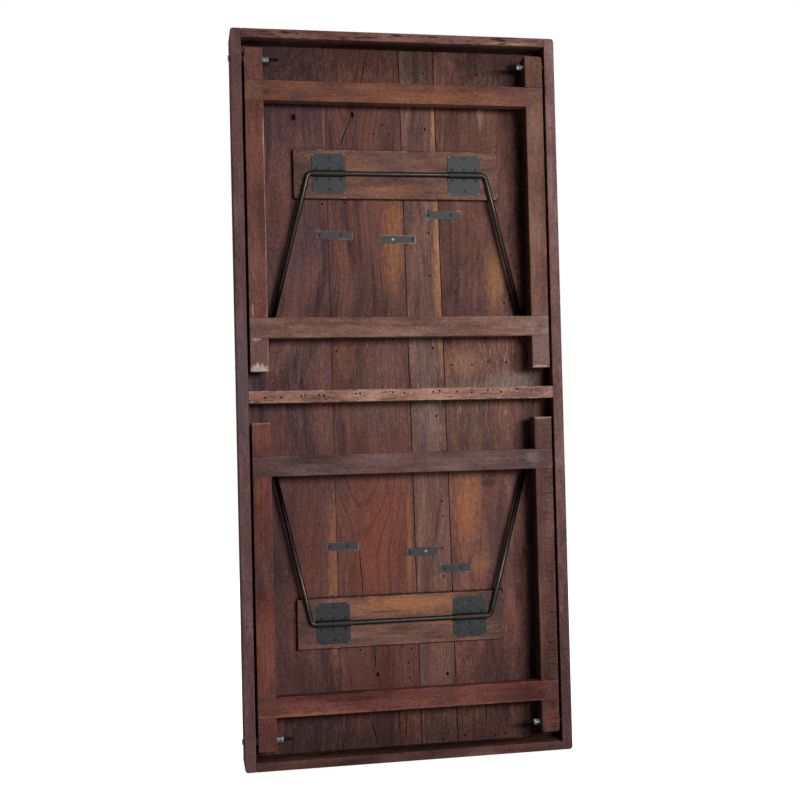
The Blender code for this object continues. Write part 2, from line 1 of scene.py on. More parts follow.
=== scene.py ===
# %% [markdown]
# This lesson dresses a folding dining table, an old plank table that stands folded on one short end and
# shows its underside. The wood, the steel and the moving legs come from a CAD model, so their sizes are
# settled. What is left is what the eye reads: grain, wear, nail holes, screws, threads and studio light.
# Every coordinate is in metres: X runs across the table, Y away from the viewer, and Z up along the
# planks.

# %% Load the CAD model as a fixed frame
import json
import math
import random

import bmesh
import bpy
from mathutils import Matrix, Vector

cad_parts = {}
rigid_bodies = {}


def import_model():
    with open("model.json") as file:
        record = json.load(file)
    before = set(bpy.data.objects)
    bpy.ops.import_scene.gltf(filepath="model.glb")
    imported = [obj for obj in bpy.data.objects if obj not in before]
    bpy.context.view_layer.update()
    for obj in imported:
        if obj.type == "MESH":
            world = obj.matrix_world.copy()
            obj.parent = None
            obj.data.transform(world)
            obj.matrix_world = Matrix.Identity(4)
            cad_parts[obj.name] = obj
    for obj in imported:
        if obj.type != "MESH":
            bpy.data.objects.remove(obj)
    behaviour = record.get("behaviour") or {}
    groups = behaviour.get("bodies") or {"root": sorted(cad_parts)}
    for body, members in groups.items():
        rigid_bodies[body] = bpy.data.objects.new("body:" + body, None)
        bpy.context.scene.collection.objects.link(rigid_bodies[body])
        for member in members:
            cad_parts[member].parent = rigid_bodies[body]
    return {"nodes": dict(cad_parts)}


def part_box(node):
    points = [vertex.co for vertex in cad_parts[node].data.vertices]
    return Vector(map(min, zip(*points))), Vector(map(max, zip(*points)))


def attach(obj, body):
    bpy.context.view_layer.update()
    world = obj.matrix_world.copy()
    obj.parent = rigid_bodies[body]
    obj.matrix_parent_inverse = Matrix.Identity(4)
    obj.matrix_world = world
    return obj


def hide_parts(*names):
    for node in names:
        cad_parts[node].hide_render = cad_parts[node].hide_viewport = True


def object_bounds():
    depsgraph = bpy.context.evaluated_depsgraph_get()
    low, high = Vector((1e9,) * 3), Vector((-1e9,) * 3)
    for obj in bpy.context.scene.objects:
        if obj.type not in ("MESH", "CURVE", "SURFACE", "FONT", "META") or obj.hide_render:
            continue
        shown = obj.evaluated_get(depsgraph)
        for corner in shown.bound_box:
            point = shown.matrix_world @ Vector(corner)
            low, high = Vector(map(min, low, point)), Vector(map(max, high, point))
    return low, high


for leftover in list(bpy.data.objects):
    bpy.data.objects.remove(leftover)

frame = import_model()
nodes = frame["nodes"]
cad_low, cad_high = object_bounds()
print(f"{len(nodes)} CAD nodes, {[round(side, 3) for side in cad_high - cad_low]} m")

# %% [markdown]
# Three small helpers serve every material. Colours are easiest to pick as sRGB hex codes, the way a paint
# program shows them, but shaders calculate in linear light, so one function converts them. Building a node
# by hand takes a line for each setting and link; the second function takes them all at once and gives back
# the output socket, ready to be plugged into the next node. It names inputs by identifier, because some
# nodes repeat a plain name, and what isn't named keeps Blender's default. The third starts an empty
# material.

# %% Helpers for colours and nodes


def srgb(hex_code):
    """Turns an sRGB hex code into the linear colour that shader sockets take."""
    channels = [int(hex_code[start:start + 2], 16) / 255 for start in (0, 2, 4)]
    linear = [c / 12.92 if c <= 0.04045 else ((c + 0.055) / 1.055) ** 2.4 for c in channels]
    return (*linear, 1.0)


def add_node(tree, kind, inputs, out=None, stops=(), **settings):
    """Adds a shader node with settings, values and links, and gives the output named out, or the first."""
    node = tree.nodes.new(f"ShaderNode{kind}")
    for key, value in settings.items():
        setattr(node, key, value)
    for key, value in inputs.items():
        socket = next(each for each in node.inputs if each.identifier == key)
        if isinstance(value, bpy.types.NodeSocket):
            tree.links.new(value, socket)
        else:
            socket.default_value = value
    for place, hex_code in stops:
        stop = node.color_ramp.elements.new(place)
        stop.color = srgb(hex_code)
    if stops:
        node.color_ramp.elements.remove(node.color_ramp.elements[0])
        node.color_ramp.elements.remove(node.color_ramp.elements[-1])
    return next((each for each in node.outputs if each.enabled and out in (None, each.name)), None)


def new_material(name):
    """Makes an empty node material and gives it with its tree."""
    material = bpy.data.materials.new(name)
    material.use_nodes = True
    material.node_tree.nodes.clear()
    return material, material.node_tree


print("white is", srgb("ffffff"), "and mid grey is", [round(c, 3) for c in srgb("808080")])

# %% [markdown]
# Old hardwood is one idea with many variations, so one function makes it and each board gives its own
# colours. The pattern has layers: colour zones a few centimetres wide, streaks about 9 mm wide that run a
# third of a metre along the grain, growth rings round a pith that lies outside the board, fibres, grit and
# open pores. A noise texture turns into any of these when it is stretched along the grain. The Object
# coordinate of a CAD node is its place in the table's own frame, so no two boards show the same stretch of
# pattern, and it moves with a leg. Rings are drawn 11 mm apart, wider than in most trees, so that they
# show.

# %% Grain patterns
SEED_STEPS = (7.31, 3.17, 5.73)
RING_SPACING_MM = 11.0
# A Wave texture of scale 1 repeats every pi / 10 units.
WAVE_PERIOD_MM = 1000 * math.pi / 10
RING_STRETCH = 12


def grain_noise(tree, point, along, width_mm, length_mm, seed, detail=3.0):
    """Noise with patches width_mm across and length_mm along the grain, from 0 to 1."""
    scale = [1000 / width_mm] * 3
    scale["XYZ".index(along)] = 1000 / length_mm
    offset = [seed * step for step in SEED_STEPS]
    place = add_node(tree, "Mapping", {"Vector": point, "Location": offset, "Scale": scale})
    return add_node(tree, "TexNoise", {"Vector": place, "Scale": 1.0, "Detail": detail, "Roughness": 0.6})


def growth_rings(tree, point, along, pith, tilt):
    """Rings round a pith line through a point; a tilt in degrees makes arches on a board's face."""
    size = [RING_SPACING_MM / WAVE_PERIOD_MM] * 3
    size["XYZ".index(along)] *= RING_STRETCH
    lean = math.radians(tilt)
    turn = (lean, 0.0, 0.0) if along == "Z" else (0.0, 0.0, lean)
    place = add_node(
        tree, "Mapping", {"Vector": point, "Location": pith, "Rotation": turn, "Scale": size},
        vector_type="TEXTURE",
    )
    return add_node(
        tree, "TexWave",
        {"Vector": place, "Scale": 1.0, "Distortion": 4.0, "Detail": 3.0, "Detail Scale": 0.7},
        out="Fac", wave_type="RINGS", rings_direction=along,
    )


print(f"growth rings every {RING_SPACING_MM:g} mm, stretched {RING_STRETCH} times along the grain")

# %% [markdown]
# Wear, dirt and painted shade don't follow the grain but the shape of the table: edges are rubbed, a stain
# has a place and a size, painted shade and grime darken a board right beside a piece that is screwed on,
# and a frame saw has left lines across one post. Each is a mask, a number from 0 to 1 that later mixes in
# another colour. A mask could be painted by hand as a picture, but one that is worked out from the point's
# place in the table needs no picture and stays sharp from near by. A noise makes the borders ragged,
# because no real stain has a clean rim.

# %% Masks for wear, stains, dirt and painted shade
# In half sizes of a patch: how far the noise pushes its rim in, and where an even rim would lie.
PATCH_RAGGED = 1.6
PATCH_RIM = 1.4
SAW_LINE_MM = (3.6, 60)
# Painted shade and grime beside a piece on a board: how ragged its rim is, where it fades and how dark it
# gets.
SHADE_GRIME_RAGGED = 0.006
SHADE_GRIME_REACH = (0.004, 0.008)
SHADE_GRIME_STRENGTH = 0.85


def edge_distance(tree, point, low, high):
    """Distance in metres from a point on a box to the box's nearest edge: the middle one of three depths."""
    from_low = add_node(tree, "VectorMath", {"Vector": point, "Vector_001": low}, operation="SUBTRACT")
    from_high = add_node(tree, "VectorMath", {"Vector": high, "Vector_001": point}, operation="SUBTRACT")
    depth = add_node(tree, "VectorMath", {"Vector": from_low, "Vector_001": from_high}, operation="MINIMUM")
    depths = add_node(tree, "SeparateXYZ", {"Vector": depth}).node.outputs
    pair = {"Value": depths["X"], "Value_001": depths["Y"]}
    smaller = add_node(tree, "Math", pair, operation="MINIMUM")
    larger = add_node(tree, "Math", pair, operation="MAXIMUM")
    rest = add_node(tree, "Math", {"Value": larger, "Value_001": depths["Z"]}, operation="MINIMUM")
    return add_node(tree, "Math", {"Value": smaller, "Value_001": rest}, operation="MAXIMUM")


def patch_mask(tree, point, centre, radii, lean, ragged, strength, softness=1.0):
    """An ellipsoid mask that leans over by an angle, with an edge made ragged by a noise from 0 to 1."""
    place = add_node(
        tree, "Mapping", {"Vector": point, "Location": centre, "Rotation": (0.0, lean, 0.0), "Scale": radii},
        vector_type="TEXTURE",
    )
    away = add_node(tree, "VectorMath", {"Vector": place}, operation="LENGTH")
    uneven = add_node(
        tree, "Math", {"Value": ragged, "Value_001": PATCH_RAGGED, "Value_002": away},
        operation="MULTIPLY_ADD",
    )
    near = PATCH_RIM - softness / 2
    far = PATCH_RIM + softness / 2
    return add_node(
        tree, "MapRange",
        {"Value": uneven, "From Min": near, "From Max": far, "To Min": strength, "To Max": 0.0},
        interpolation_type="SMOOTHSTEP",
    )


def saw_marks(tree, point, box, seed):
    """Marks of a frame saw across a post: thin, uneven dark lines that stop short of its left edge."""
    lines = grain_noise(tree, point, "X", *SAW_LINE_MM, seed, detail=1.0)
    thin = add_node(tree, "MapRange", {"Value": lines, "From Min": 0.54, "From Max": 0.64, "To Max": 0.65})
    across = add_node(tree, "SeparateXYZ", {"Vector": point}, out="X")
    left = box[0].x
    width = box[1].x - left
    reach = add_node(
        tree, "MapRange", {"Value": across, "From Min": left + 0.2 * width, "From Max": left + 0.6 * width}
    )
    return add_node(tree, "Math", {"Value": thin, "Value_001": reach}, operation="MULTIPLY")


def shade_and_grime_round(tree, point, box, ragged):
    """How much painted shade and grime lies on a board right beside a piece with this box: most at its sides,
    none 5 mm away.
    """
    centre = (box[0] + box[1]) / 2
    half = (box[1] - box[0]) / 2
    offset = add_node(tree, "VectorMath", {"Vector": point, "Vector_001": centre}, operation="SUBTRACT")
    offset = add_node(tree, "VectorMath", {"Vector": offset}, operation="ABSOLUTE")
    beside = add_node(tree, "VectorMath", {"Vector": offset, "Vector_001": half}, operation="SUBTRACT")
    gaps = add_node(tree, "SeparateXYZ", {"Vector": beside}).node.outputs
    away = add_node(tree, "Math", {"Value": gaps["X"], "Value_001": gaps["Z"]}, operation="MAXIMUM")
    away = add_node(tree, "Math", {"Value": away, "Value_001": gaps["Y"]}, operation="MAXIMUM")
    uneven = add_node(
        tree, "Math", {"Value": ragged, "Value_001": SHADE_GRIME_RAGGED, "Value_002": away},
        operation="MULTIPLY_ADD",
    )
    near, far = SHADE_GRIME_REACH
    return add_node(
        tree, "MapRange",
        {"Value": uneven, "From Min": near, "From Max": far, "To Min": SHADE_GRIME_STRENGTH, "To Max": 0.0},
    )


print(f"dirt reaches about {1000 * (SHADE_GRIME_REACH[1] - SHADE_GRIME_RAGGED / 2):.0f} mm from a piece")

# %% [markdown]
# A clean board comes first. Its fibres wind a little, so one slow noise bends the point that all patterns
# read. Zones, streaks and rings together choose a tone between dark and light. The fibres and the grit are
# drawn 3 to 4 mm wide, coarser than real ones, because a pixel of the picture covers 2 mm.

# %% The grain of a clean board
FLOW_SCALE = 2.5
PITH_DEPTH = 0.12
PITH_SHIFT = 0.03
RAGGED_MM = (8, 24)
STREAK_WEIGHT = 0.35
RING_WEIGHT = 0.12
# The mean of zones and streaks together; a noise has a mean of 0.5.
MEAN_GRAIN = 0.5 + STREAK_WEIGHT / 2


def board_grain(tree, point, along, box, figure, tilt, bend, seed):
    """The patterns of one board by name, as sockets from 0 to 1, and the winding point that they follow."""
    flow = add_node(tree, "TexNoise", {"Vector": point, "Scale": FLOW_SCALE, "Detail": 1.0}, out="Color")
    winding = add_node(
        tree, "VectorMath", {"Vector": flow, "Vector_001": (bend, bend, bend), "Vector_002": point},
        operation="MULTIPLY_ADD",
    )
    wide, long = figure[:2]
    # name: width and length in millimetres, step of the seed, detail
    sizes = {
        "streaks": (9, 300, 0, 2.0),
        "fibres": (4.0, 120, 1, 3.0),
        "zones": (wide, long, 2, 5.0),
        "heart": (wide * 0.8, long * 0.9, 5, 5.0),
        "grit": (3.4, 7.5, 8, 3.0),
        "cool": (wide * 1.3, long * 0.8, 9, 5.0),
    }
    grain = {"winding": winding}
    for name, (width, length, step, detail) in sizes.items():
        grain[name] = grain_noise(tree, winding, along, width, length, seed + step, detail)
    grain["ragged"] = grain_noise(tree, point, along, *RAGGED_MM, seed + 3, detail=6.0)
    shift = Vector((PITH_SHIFT * math.sin(seed), PITH_DEPTH, PITH_SHIFT * math.cos(seed)))
    grain["rings"] = growth_rings(tree, winding, along, (box[0] + box[1]) / 2 + shift, tilt)
    return grain


def grain_colour(tree, grain, tones, ring_strength):
    """The colour of a clean board between its three tones, and the share of light wood in it."""
    ring_weight = RING_WEIGHT * ring_strength
    height = grain["zones"]
    for layer, weight in (("streaks", STREAK_WEIGHT), ("rings", ring_weight)):
        height = add_node(
            tree, "Math", {"Value": grain[layer], "Value_001": weight, "Value_002": height},
            operation="MULTIPLY_ADD",
        )
    mean = MEAN_GRAIN + ring_weight / 2
    share = add_node(tree, "MapRange", {"Value": height, "From Min": mean - 0.2, "From Max": mean + 0.2})
    colour = add_node(tree, "ValToRGB", {"Fac": share}, stops=tuple(zip((0.05, 0.5, 0.95), tones)))
    return colour, share


print(f"the grain of a clean board has a mean of {MEAN_GRAIN:.3f} without its rings")

# %% [markdown]
# Time then darkens and bares the board. Late wood of the rings, open pores and saw marks hold dirt, so
# they are almost black. Where the wax has gone the wood is pale and dry: in crumbs all over, more so in
# the heartwood, and along the arrises, where hands and floors have rubbed.

# %% Dark pores and bare arrises
PORE_MM = (2.4, 20)
CRUMB_MM = (3.6, 6)
WEAR_RAGGED = 0.015
WEAR_REACH = (0.0055, 0.0090)


def dark_marks(tree, point, along, box, rings, ring_strength, pores, pore_mm, sawn, seed):
    """Where a board is almost black, from 0 to 1."""
    late = add_node(tree, "MapRange", {"Value": rings, "From Min": 0.75, "To Max": 0.35 * ring_strength})
    specks = grain_noise(tree, point, along, *pore_mm, seed + 4, detail=1.0)
    fleck = add_node(tree, "MapRange", {"Value": specks, "From Min": 0.58, "From Max": 0.66, "To Max": pores})
    dark = add_node(tree, "Math", {"Value": late, "Value_001": fleck}, operation="MAXIMUM")
    if sawn:
        cuts = saw_marks(tree, point, box, seed + 6)
        dark = add_node(tree, "Math", {"Value": dark, "Value_001": cuts}, operation="MAXIMUM")
    return dark


def bare_wood(tree, point, along, box, grain, dust, wear, seed):
    """Where the wax of a board has gone, from 0 to 1."""
    crumbs = grain_noise(tree, point, along, *CRUMB_MM, seed + 7, detail=2.0)
    scuff = add_node(tree, "MapRange", {"Value": crumbs, "From Min": 0.57, "From Max": 0.68, "To Max": dust})
    dry = add_node(
        tree, "MapRange", {"Value": grain["heart"], "From Min": 0.4, "From Max": 0.6, "To Min": 0.4}
    )
    scuff = add_node(tree, "Math", {"Value": scuff, "Value_001": dry}, operation="MULTIPLY")
    if not wear:
        return scuff
    edge = edge_distance(tree, point, *box)
    uneven = add_node(
        tree, "Math", {"Value": grain["ragged"], "Value_001": WEAR_RAGGED, "Value_002": edge},
        operation="MULTIPLY_ADD",
    )
    near, far = WEAR_REACH
    rubbed = add_node(
        tree, "MapRange", {"Value": uneven, "From Min": near, "From Max": far, "To Min": wear, "To Max": 0.0},
        interpolation_type="SMOOTHSTEP",
    )
    return add_node(tree, "Math", {"Value": scuff, "Value_001": rubbed}, operation="MAXIMUM")


print(f"pores {PORE_MM[0]} mm wide, crumbs {CRUMB_MM[0]} mm")

# %% [markdown]
# The material itself is worn, waxed hardwood: planed by hand, oiled and handled for many years. The eye
# gets a dark ground with lighter streaks, small dark pores, paler and greyer patches where the wax has
# gone, and pale arrises. Wood is no mirror, so its specular level is low and its roughness between 0.5 and
# 0.64, lower where the wood is light. Pores and fibres also give the bump, a few tenths of a millimetre
# deep. All colours that lie over the grain are gathered as pairs of a mask and a colour, and a loop mixes
# them in, so their order is plain.

# %% The old hardwood
PURPLE_HEART = "4a383a"
# Painted shade with some grime: almost black, for the faces that look into the recess and the corners beside
# the cleats.
SHADE_AND_GRIME = "120a08"
PORE_DIRT = "170e0d"
PALE_DUST = "a8988e"
DUST_STREAK_MM = (3.4, 40)
DUST_SOFTNESS = 1.4
# Fibres and grit lighten and darken the wood. Their weights make a mean of 1, so the colour stays.
SHADE_BASE = 0.175
SHADE_WEIGHTS = (("fibres", 0.3), ("grit", 1.35))
BUMP_STRENGTH = 0.35
BUMP_DEPTH = 0.0006
ROUGH_DARK = 0.64
ROUGH_LIGHT = 0.5


def old_hardwood(
    name, box, along, tones, warm, worn, wear, seed, figure=(42, 150, 0.3), tilt=0.6, lean=0.0, patches=(),
    pores=0.15, pore_mm=PORE_MM, dust=0.2, bend=0.03, sawn=False, gloss=0.03, against=(), dusty=None,
):
    """Old waxed hardwood for a board with this box; tones are its dark, middle and light colours.

    The tint of its heartwood is warm, the colour of its bare wood is worn, and wear says how much of that
    shows on the arrises. The figure gives the width and length of the colour zones in millimetres and the
    strength of the growth rings.
    """
    material, tree = new_material(name)
    point = add_node(tree, "TexCoord", {}, out="Object")
    grain = board_grain(tree, point, along, box, figure, tilt, bend, seed)
    colour, share = grain_colour(tree, grain, tones, figure[2])

    layers = []
    for noise, strength, hex_code in (("heart", 0.6, warm), ("cool", 0.55, PURPLE_HEART)):
        tint = add_node(
            tree, "MapRange", {"Value": grain[noise], "From Min": 0.5, "From Max": 0.66, "To Max": strength}
        )
        layers.append((tint, hex_code))
    for centre, radii, hex_code, strength, *softness in patches:
        mask = patch_mask(tree, point, centre, radii, lean, grain["ragged"], strength, *softness)
        layers.append((mask, hex_code))
    if dusty:
        centre, radii, hex_code, strength = dusty
        streaks = grain_noise(tree, grain["winding"], along, *DUST_STREAK_MM, seed + 10)
        thin = add_node(tree, "MapRange", {"Value": streaks, "From Min": 0.56, "From Max": 0.70})
        place = patch_mask(tree, point, centre, radii, lean, grain["ragged"], strength, DUST_SOFTNESS)
        settled = add_node(tree, "Math", {"Value": thin, "Value_001": place}, operation="MULTIPLY")
        layers.append((settled, hex_code))
    # Painted shade and grime: the board is darkened right beside each piece that it lies against.
    for piece in against:
        layers.append((shade_and_grime_round(tree, point, piece, grain["ragged"]), SHADE_AND_GRIME))
    for mask, hex_code in layers:
        colour = add_node(
            tree, "Mix", {"Factor_Float": mask, "A_Color": colour, "B_Color": srgb(hex_code)},
            data_type="RGBA",
        )

    shade = SHADE_BASE
    for layer, weight in SHADE_WEIGHTS:
        shade = add_node(
            tree, "Math", {"Value": grain[layer], "Value_001": weight, "Value_002": shade},
            operation="MULTIPLY_ADD",
        )
    colour = add_node(tree, "VectorMath", {"Vector": colour, "Scale": shade}, operation="SCALE")
    dark = dark_marks(tree, point, along, box, grain["rings"], figure[2], pores, pore_mm, sawn, seed)
    bare = bare_wood(tree, point, along, box, grain, dust, wear, seed)
    for mask, hex_code in ((dark, PORE_DIRT), (bare, worn)):
        colour = add_node(
            tree, "Mix", {"Factor_Float": mask, "A_Color": colour, "B_Color": srgb(hex_code)},
            data_type="RGBA",
        )

    height = add_node(
        tree, "Math", {"Value": dark, "Value_001": -0.9, "Value_002": grain["fibres"]},
        operation="MULTIPLY_ADD",
    )
    normal = add_node(tree, "Bump", {"Strength": BUMP_STRENGTH, "Distance": BUMP_DEPTH, "Height": height})
    roughness = add_node(tree, "MapRange", {"Value": share, "To Min": ROUGH_DARK, "To Max": ROUGH_LIGHT})
    surface = add_node(
        tree, "BsdfPrincipled",
        {
            "Base Color": colour, "Roughness": roughness, "Normal": normal,
            "IOR": 1.5, "Specular IOR Level": gloss,
        },
    )
    add_node(tree, "OutputMaterial", {"Surface": surface})
    return material


def dress(node_name, material):
    """Gives a CAD node one material."""
    node = nodes[node_name]
    node.data.materials.clear()
    node.data.materials.append(material)


mean_shade = SHADE_BASE + sum(weight for _, weight in SHADE_WEIGHTS) / 2
print(f"fibres and grit keep the mean at {mean_shade:.3f}")

# %% [markdown]
# The boards come from different trees and different years. The side rails have gone purple-brown, the
# upper leg is a warm orange-brown, the lower leg is redder, and the crossbar is the palest. Each row below
# names the way the grain runs, the dark, middle and light tones, a warm tint, the colour of rubbed edges,
# how strong that rubbing is, and a seed.

# %% Tones of the frame and the legs
FRAME_BOARDS = {
    "left_side_rail": ("Z", ("4b3536", "604645", "6f5553"), "6c4b46", "77605b", 0.3, 1),
    "right_side_rail": ("Z", ("573f3e", "705351", "846865"), "7a5550", "8d736c", 0.4, 2),
    "top_end_rail": ("X", ("452c29", "6a4842", "806055"), "73504a", "90705f", 0.5, 3),
    "bottom_end_rail": ("X", ("3f2826", "5a3c38", "6e4e46"), "673f37", "7a5c50", 0.4, 4),
    "crossbar": ("X", ("64463e", "8c675b", "ab8677"), "966853", "cba78e", 0.9, 5),
    "upper_left_post": ("Z", ("4a2f2a", "613f37", "744e45"), "704237", "a07e68", 0.5, 6),
    "upper_right_post": ("Z", ("4e352c", "65463c", "78584b"), "714b3a", "957263", 0.4, 7),
    "upper_leg_pivot_rail": ("X", ("513329", "684335", "7d5340"), "784a31", "9a6e55", 0.5, 8),
    "upper_leg_foot_rail": ("X", ("5a3f38", "775449", "8c6d60"), "835a47", "957668", 0.4, 9),
    "lower_left_post": ("Z", ("4a2a25", "643a32", "784c40"), "733d33", "8f6c5d", 0.5, 10),
    "lower_right_post": ("Z", ("3e2926", "553a35", "674b45"), "5e3a33", "7d6158", 0.4, 11),
    "lower_leg_pivot_rail": ("X", ("452622", "633933", "7a4c43"), "733f35", "8d5d4c", 0.55, 12),
    "lower_leg_foot_rail": ("X", ("433130", "5c4544", "6f5856"), "644742", "806a65", 0.4, 13),
}
print(f"tones for {len(FRAME_BOARDS)} boards")

# %% [markdown]
# Local colour, such as pale torn feet, rubbed arrises or the greyer squares of the lap joints, is listed
# as patches: a centre and half sizes on the front, a colour and a strength, and for a crisp rim a small
# softness. Thin light lines along the inner arris of the upper left post are a painted highlight. The inner
# faces of the rails and the right posts are painted almost black: painted shade in the recess, with some
# grime.

# %% Local colours, painted highlight and painted shade of the frame and the legs
FOOT_Z = {"upper": 0.882, "lower": 0.768}
FOOT_RAIL_Z = {"upper": 0.979, "lower": 0.671}
PIVOT_RAIL_Z = {"upper": 1.5115, "lower": 0.1385}
POST_X = 0.3245
FRONT_Y = -0.043


def front_patch(x, z, half_width, half_height, hex_code, strength, *softness, depth=0.03):
    """A patch of colour on the table's front, by its centre, half sizes and depth into the wood."""
    return ((x, FRONT_Y, z), (half_width, depth, half_height), hex_code, strength, *softness)


LOCAL_COLOURS = {
    "crossbar": [front_patch(-0.088, 0.828, 0.022, 0.008, "75686a", 0.7)],
    "top_end_rail": [front_patch(0.27, 1.634, 0.075, 0.006, "a5805f", 0.6)],
    "upper_left_post": [
        front_patch(-POST_X, 0.915, 0.09, 0.075, "674d49", 0.9, depth=0.06),
        front_patch(-POST_X, 1.575, 0.04, 0.04, "5c3d37", 0.7),
        front_patch(-POST_X, FOOT_Z["upper"], 0.045, 0.026, "b5a294", 0.85, 0.3, depth=0.05),
        # Painted highlight: the next two patches are thin light lines along the post's inner arris, where
        # light catches the edge.
        front_patch(-0.3045, 1.395, 0.0035, 0.085, "b28c6c", 0.7),
        front_patch(-0.3042, 1.18, 0.0030, 0.26, "9c7862", 0.7),
        front_patch(-0.338, 1.015, 0.004, 0.020, "b58f78", 0.7),
        front_patch(-0.332, 0.955, 0.016, 0.009, "a08a80", 0.7, 0.3),
        # Painted highlight: a thin light line along the post's inner arris near its foot.
        front_patch(-0.305, 0.92, 0.003, 0.05, "8d7772", 0.7, 0.5),
    ],
    "upper_right_post": [
        front_patch(POST_X, 0.93, 0.09, 0.10, "755d58", 0.75, depth=0.06),
        front_patch(POST_X, FOOT_Z["upper"], 0.04, 0.010, "a38d80", 0.75, 0.3, depth=0.05),
    ],
    "lower_left_post": [
        front_patch(-POST_X, 0.745, 0.06, 0.05, "744a41", 0.7, depth=0.06),
        front_patch(-POST_X, FOOT_Z["lower"], 0.04, 0.006, "94796a", 0.7, 0.3, depth=0.05),
    ],
    "lower_right_post": [
        front_patch(POST_X, FOOT_Z["lower"], 0.04, 0.009, "95807a", 0.7, 0.3, depth=0.05),
        front_patch(POST_X, 0.075, 0.05, 0.035, "6e3f39", 0.7),
    ],
    "upper_leg_pivot_rail": [front_patch(-0.297, 1.508, 0.013, 0.013, "33231f", 0.75)],
    "upper_leg_foot_rail": [
        front_patch(0.318, 0.980, 0.032, 0.040, "7b6763", 0.8),
        front_patch(0.333, 0.968, 0.012, 0.010, "a88a80", 0.7),
    ],
    "lower_leg_foot_rail": [front_patch(0.300, 0.672, 0.022, 0.018, "7d726d", 0.5)],
    "lower_leg_pivot_rail": [
        front_patch(-0.22, 0.118, 0.17, 0.009, "8f5c47", 0.8),
        front_patch(0.10, 0.118, 0.22, 0.004, "7f4f42", 0.6),
    ],
    "left_side_rail": [front_patch(-0.363, 0.86, 0.06, 0.22, "655556", 0.7, depth=0.06)],
    "right_side_rail": [front_patch(0.363, 0.15, 0.08, 0.50, "402c2c", 0.75, depth=0.08)],
}
LAP_GREY = {"upper": ("5f4d48", 0.7), "lower": ("553f3b", 0.4)}
DUSTY_BOARDS = {"crossbar": 0.6, "upper_leg_foot_rail": 0.4, "right_side_rail": 0.4, "upper_right_post": 0.3}
FLECKS = {"top_end_rail": 0.8, "crossbar": 0.5}
# Painted shade with some grime: the rails' inner faces and the right posts' left faces, deep in the recess,
# are painted almost black.
SHADE_PAINTED_FACES = {
    "left_side_rail": ((-0.351, 0.0, 0.825), (0.004, 0.05, 1.2)),
    "right_side_rail": ((0.351, 0.0, 0.825), (0.004, 0.05, 1.2)),
    "top_end_rail": ((0.0, 0.0, 1.630), (0.6, 0.05, 0.004)),
    "bottom_end_rail": ((0.0, 0.0, 0.020), (0.6, 0.05, 0.004)),
    "upper_right_post": ((0.304, -0.015, 1.25), (0.004, 0.034, 0.6)),
    "lower_right_post": ((0.304, -0.015, 0.40), (0.004, 0.034, 0.6)),
}
for board, (centre, radii) in SHADE_PAINTED_FACES.items():
    LOCAL_COLOURS.setdefault(board, []).append((centre, radii, SHADE_AND_GRIME, 0.9))
for half, (grey, strength) in LAP_GREY.items():
    for part, rail_z in (("pivot", PIVOT_RAIL_Z[half]), ("foot", FOOT_RAIL_Z[half])):
        laps = LOCAL_COLOURS.setdefault(f"{half}_leg_{part}_rail", [])
        for side in (-1, 1):
            laps.append(front_patch(side * POST_X, rail_z, 0.026, 0.030, grey, strength))
print(sum(len(patches) for patches in LOCAL_COLOURS.values()), "patches of local colour")

# %% Dress the frame and the legs
WIDE_PORE_MM = (4.0, 36)
for board, (along, tones, warm, worn, wear, seed) in FRAME_BOARDS.items():
    wood = old_hardwood(
        f"old_hardwood.{board}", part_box(board), along, tones, warm, worn, wear, seed,
        patches=LOCAL_COLOURS.get(board, ()), sawn=board == "lower_right_post",
        pores=FLECKS.get(board, 0.2), pore_mm=WIDE_PORE_MM if board in FLECKS else PORE_MM,
        dust=DUSTY_BOARDS.get(board, 0.2), gloss=0.0 if board.endswith("side_rail") else 0.03,
    )
    dress(board, wood)
print(f"{len(FRAME_BOARDS)} boards of the frame and the legs have their wood")

# %% [markdown]
# The four planks are wide flat-sawn boards, so their faces show arches of growth rings; a tilted pith
# gives those. They also carry the history of the table: strips of paler sapwood beside the seams, orange
# heartwood, bluish iron stains, knots, and dust that has settled in the fibres near the middle. Two dark
# bands on the fourth plank, beside the right posts, are a painted shadow, and every plank is painted
# darker at both ends, as painted shade under the end rails. The places are easiest to give as they would
# be measured on the real underside, in millimetres from its upper left corner, so one function turns such
# a place into the table's frame.

# %% Stains and painted shadow of the planks
TABLE_WIDTH_MM = 750
TABLE_LENGTH_MM = 1650
PLANK_FACE_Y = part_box("plank_1")[0].y


def on_underside(across_mm, down_mm, y=PLANK_FACE_Y):
    """The point in the table's frame that lies this far from the upper left corner of the underside."""
    return Vector(((across_mm - TABLE_WIDTH_MM / 2) / 1000, y, (TABLE_LENGTH_MM - down_mm) / 1000))


def underside_patch(across_mm, down_mm, half_width_mm, half_length_mm, hex_code, strength, y=PLANK_FACE_Y):
    """A patch of colour on the planks or a cleat, by its centre and half sizes in millimetres."""
    radii = (half_width_mm / 1000, 0.03, half_length_mm / 1000)
    return (on_underside(across_mm, down_mm, y), radii, hex_code, strength)
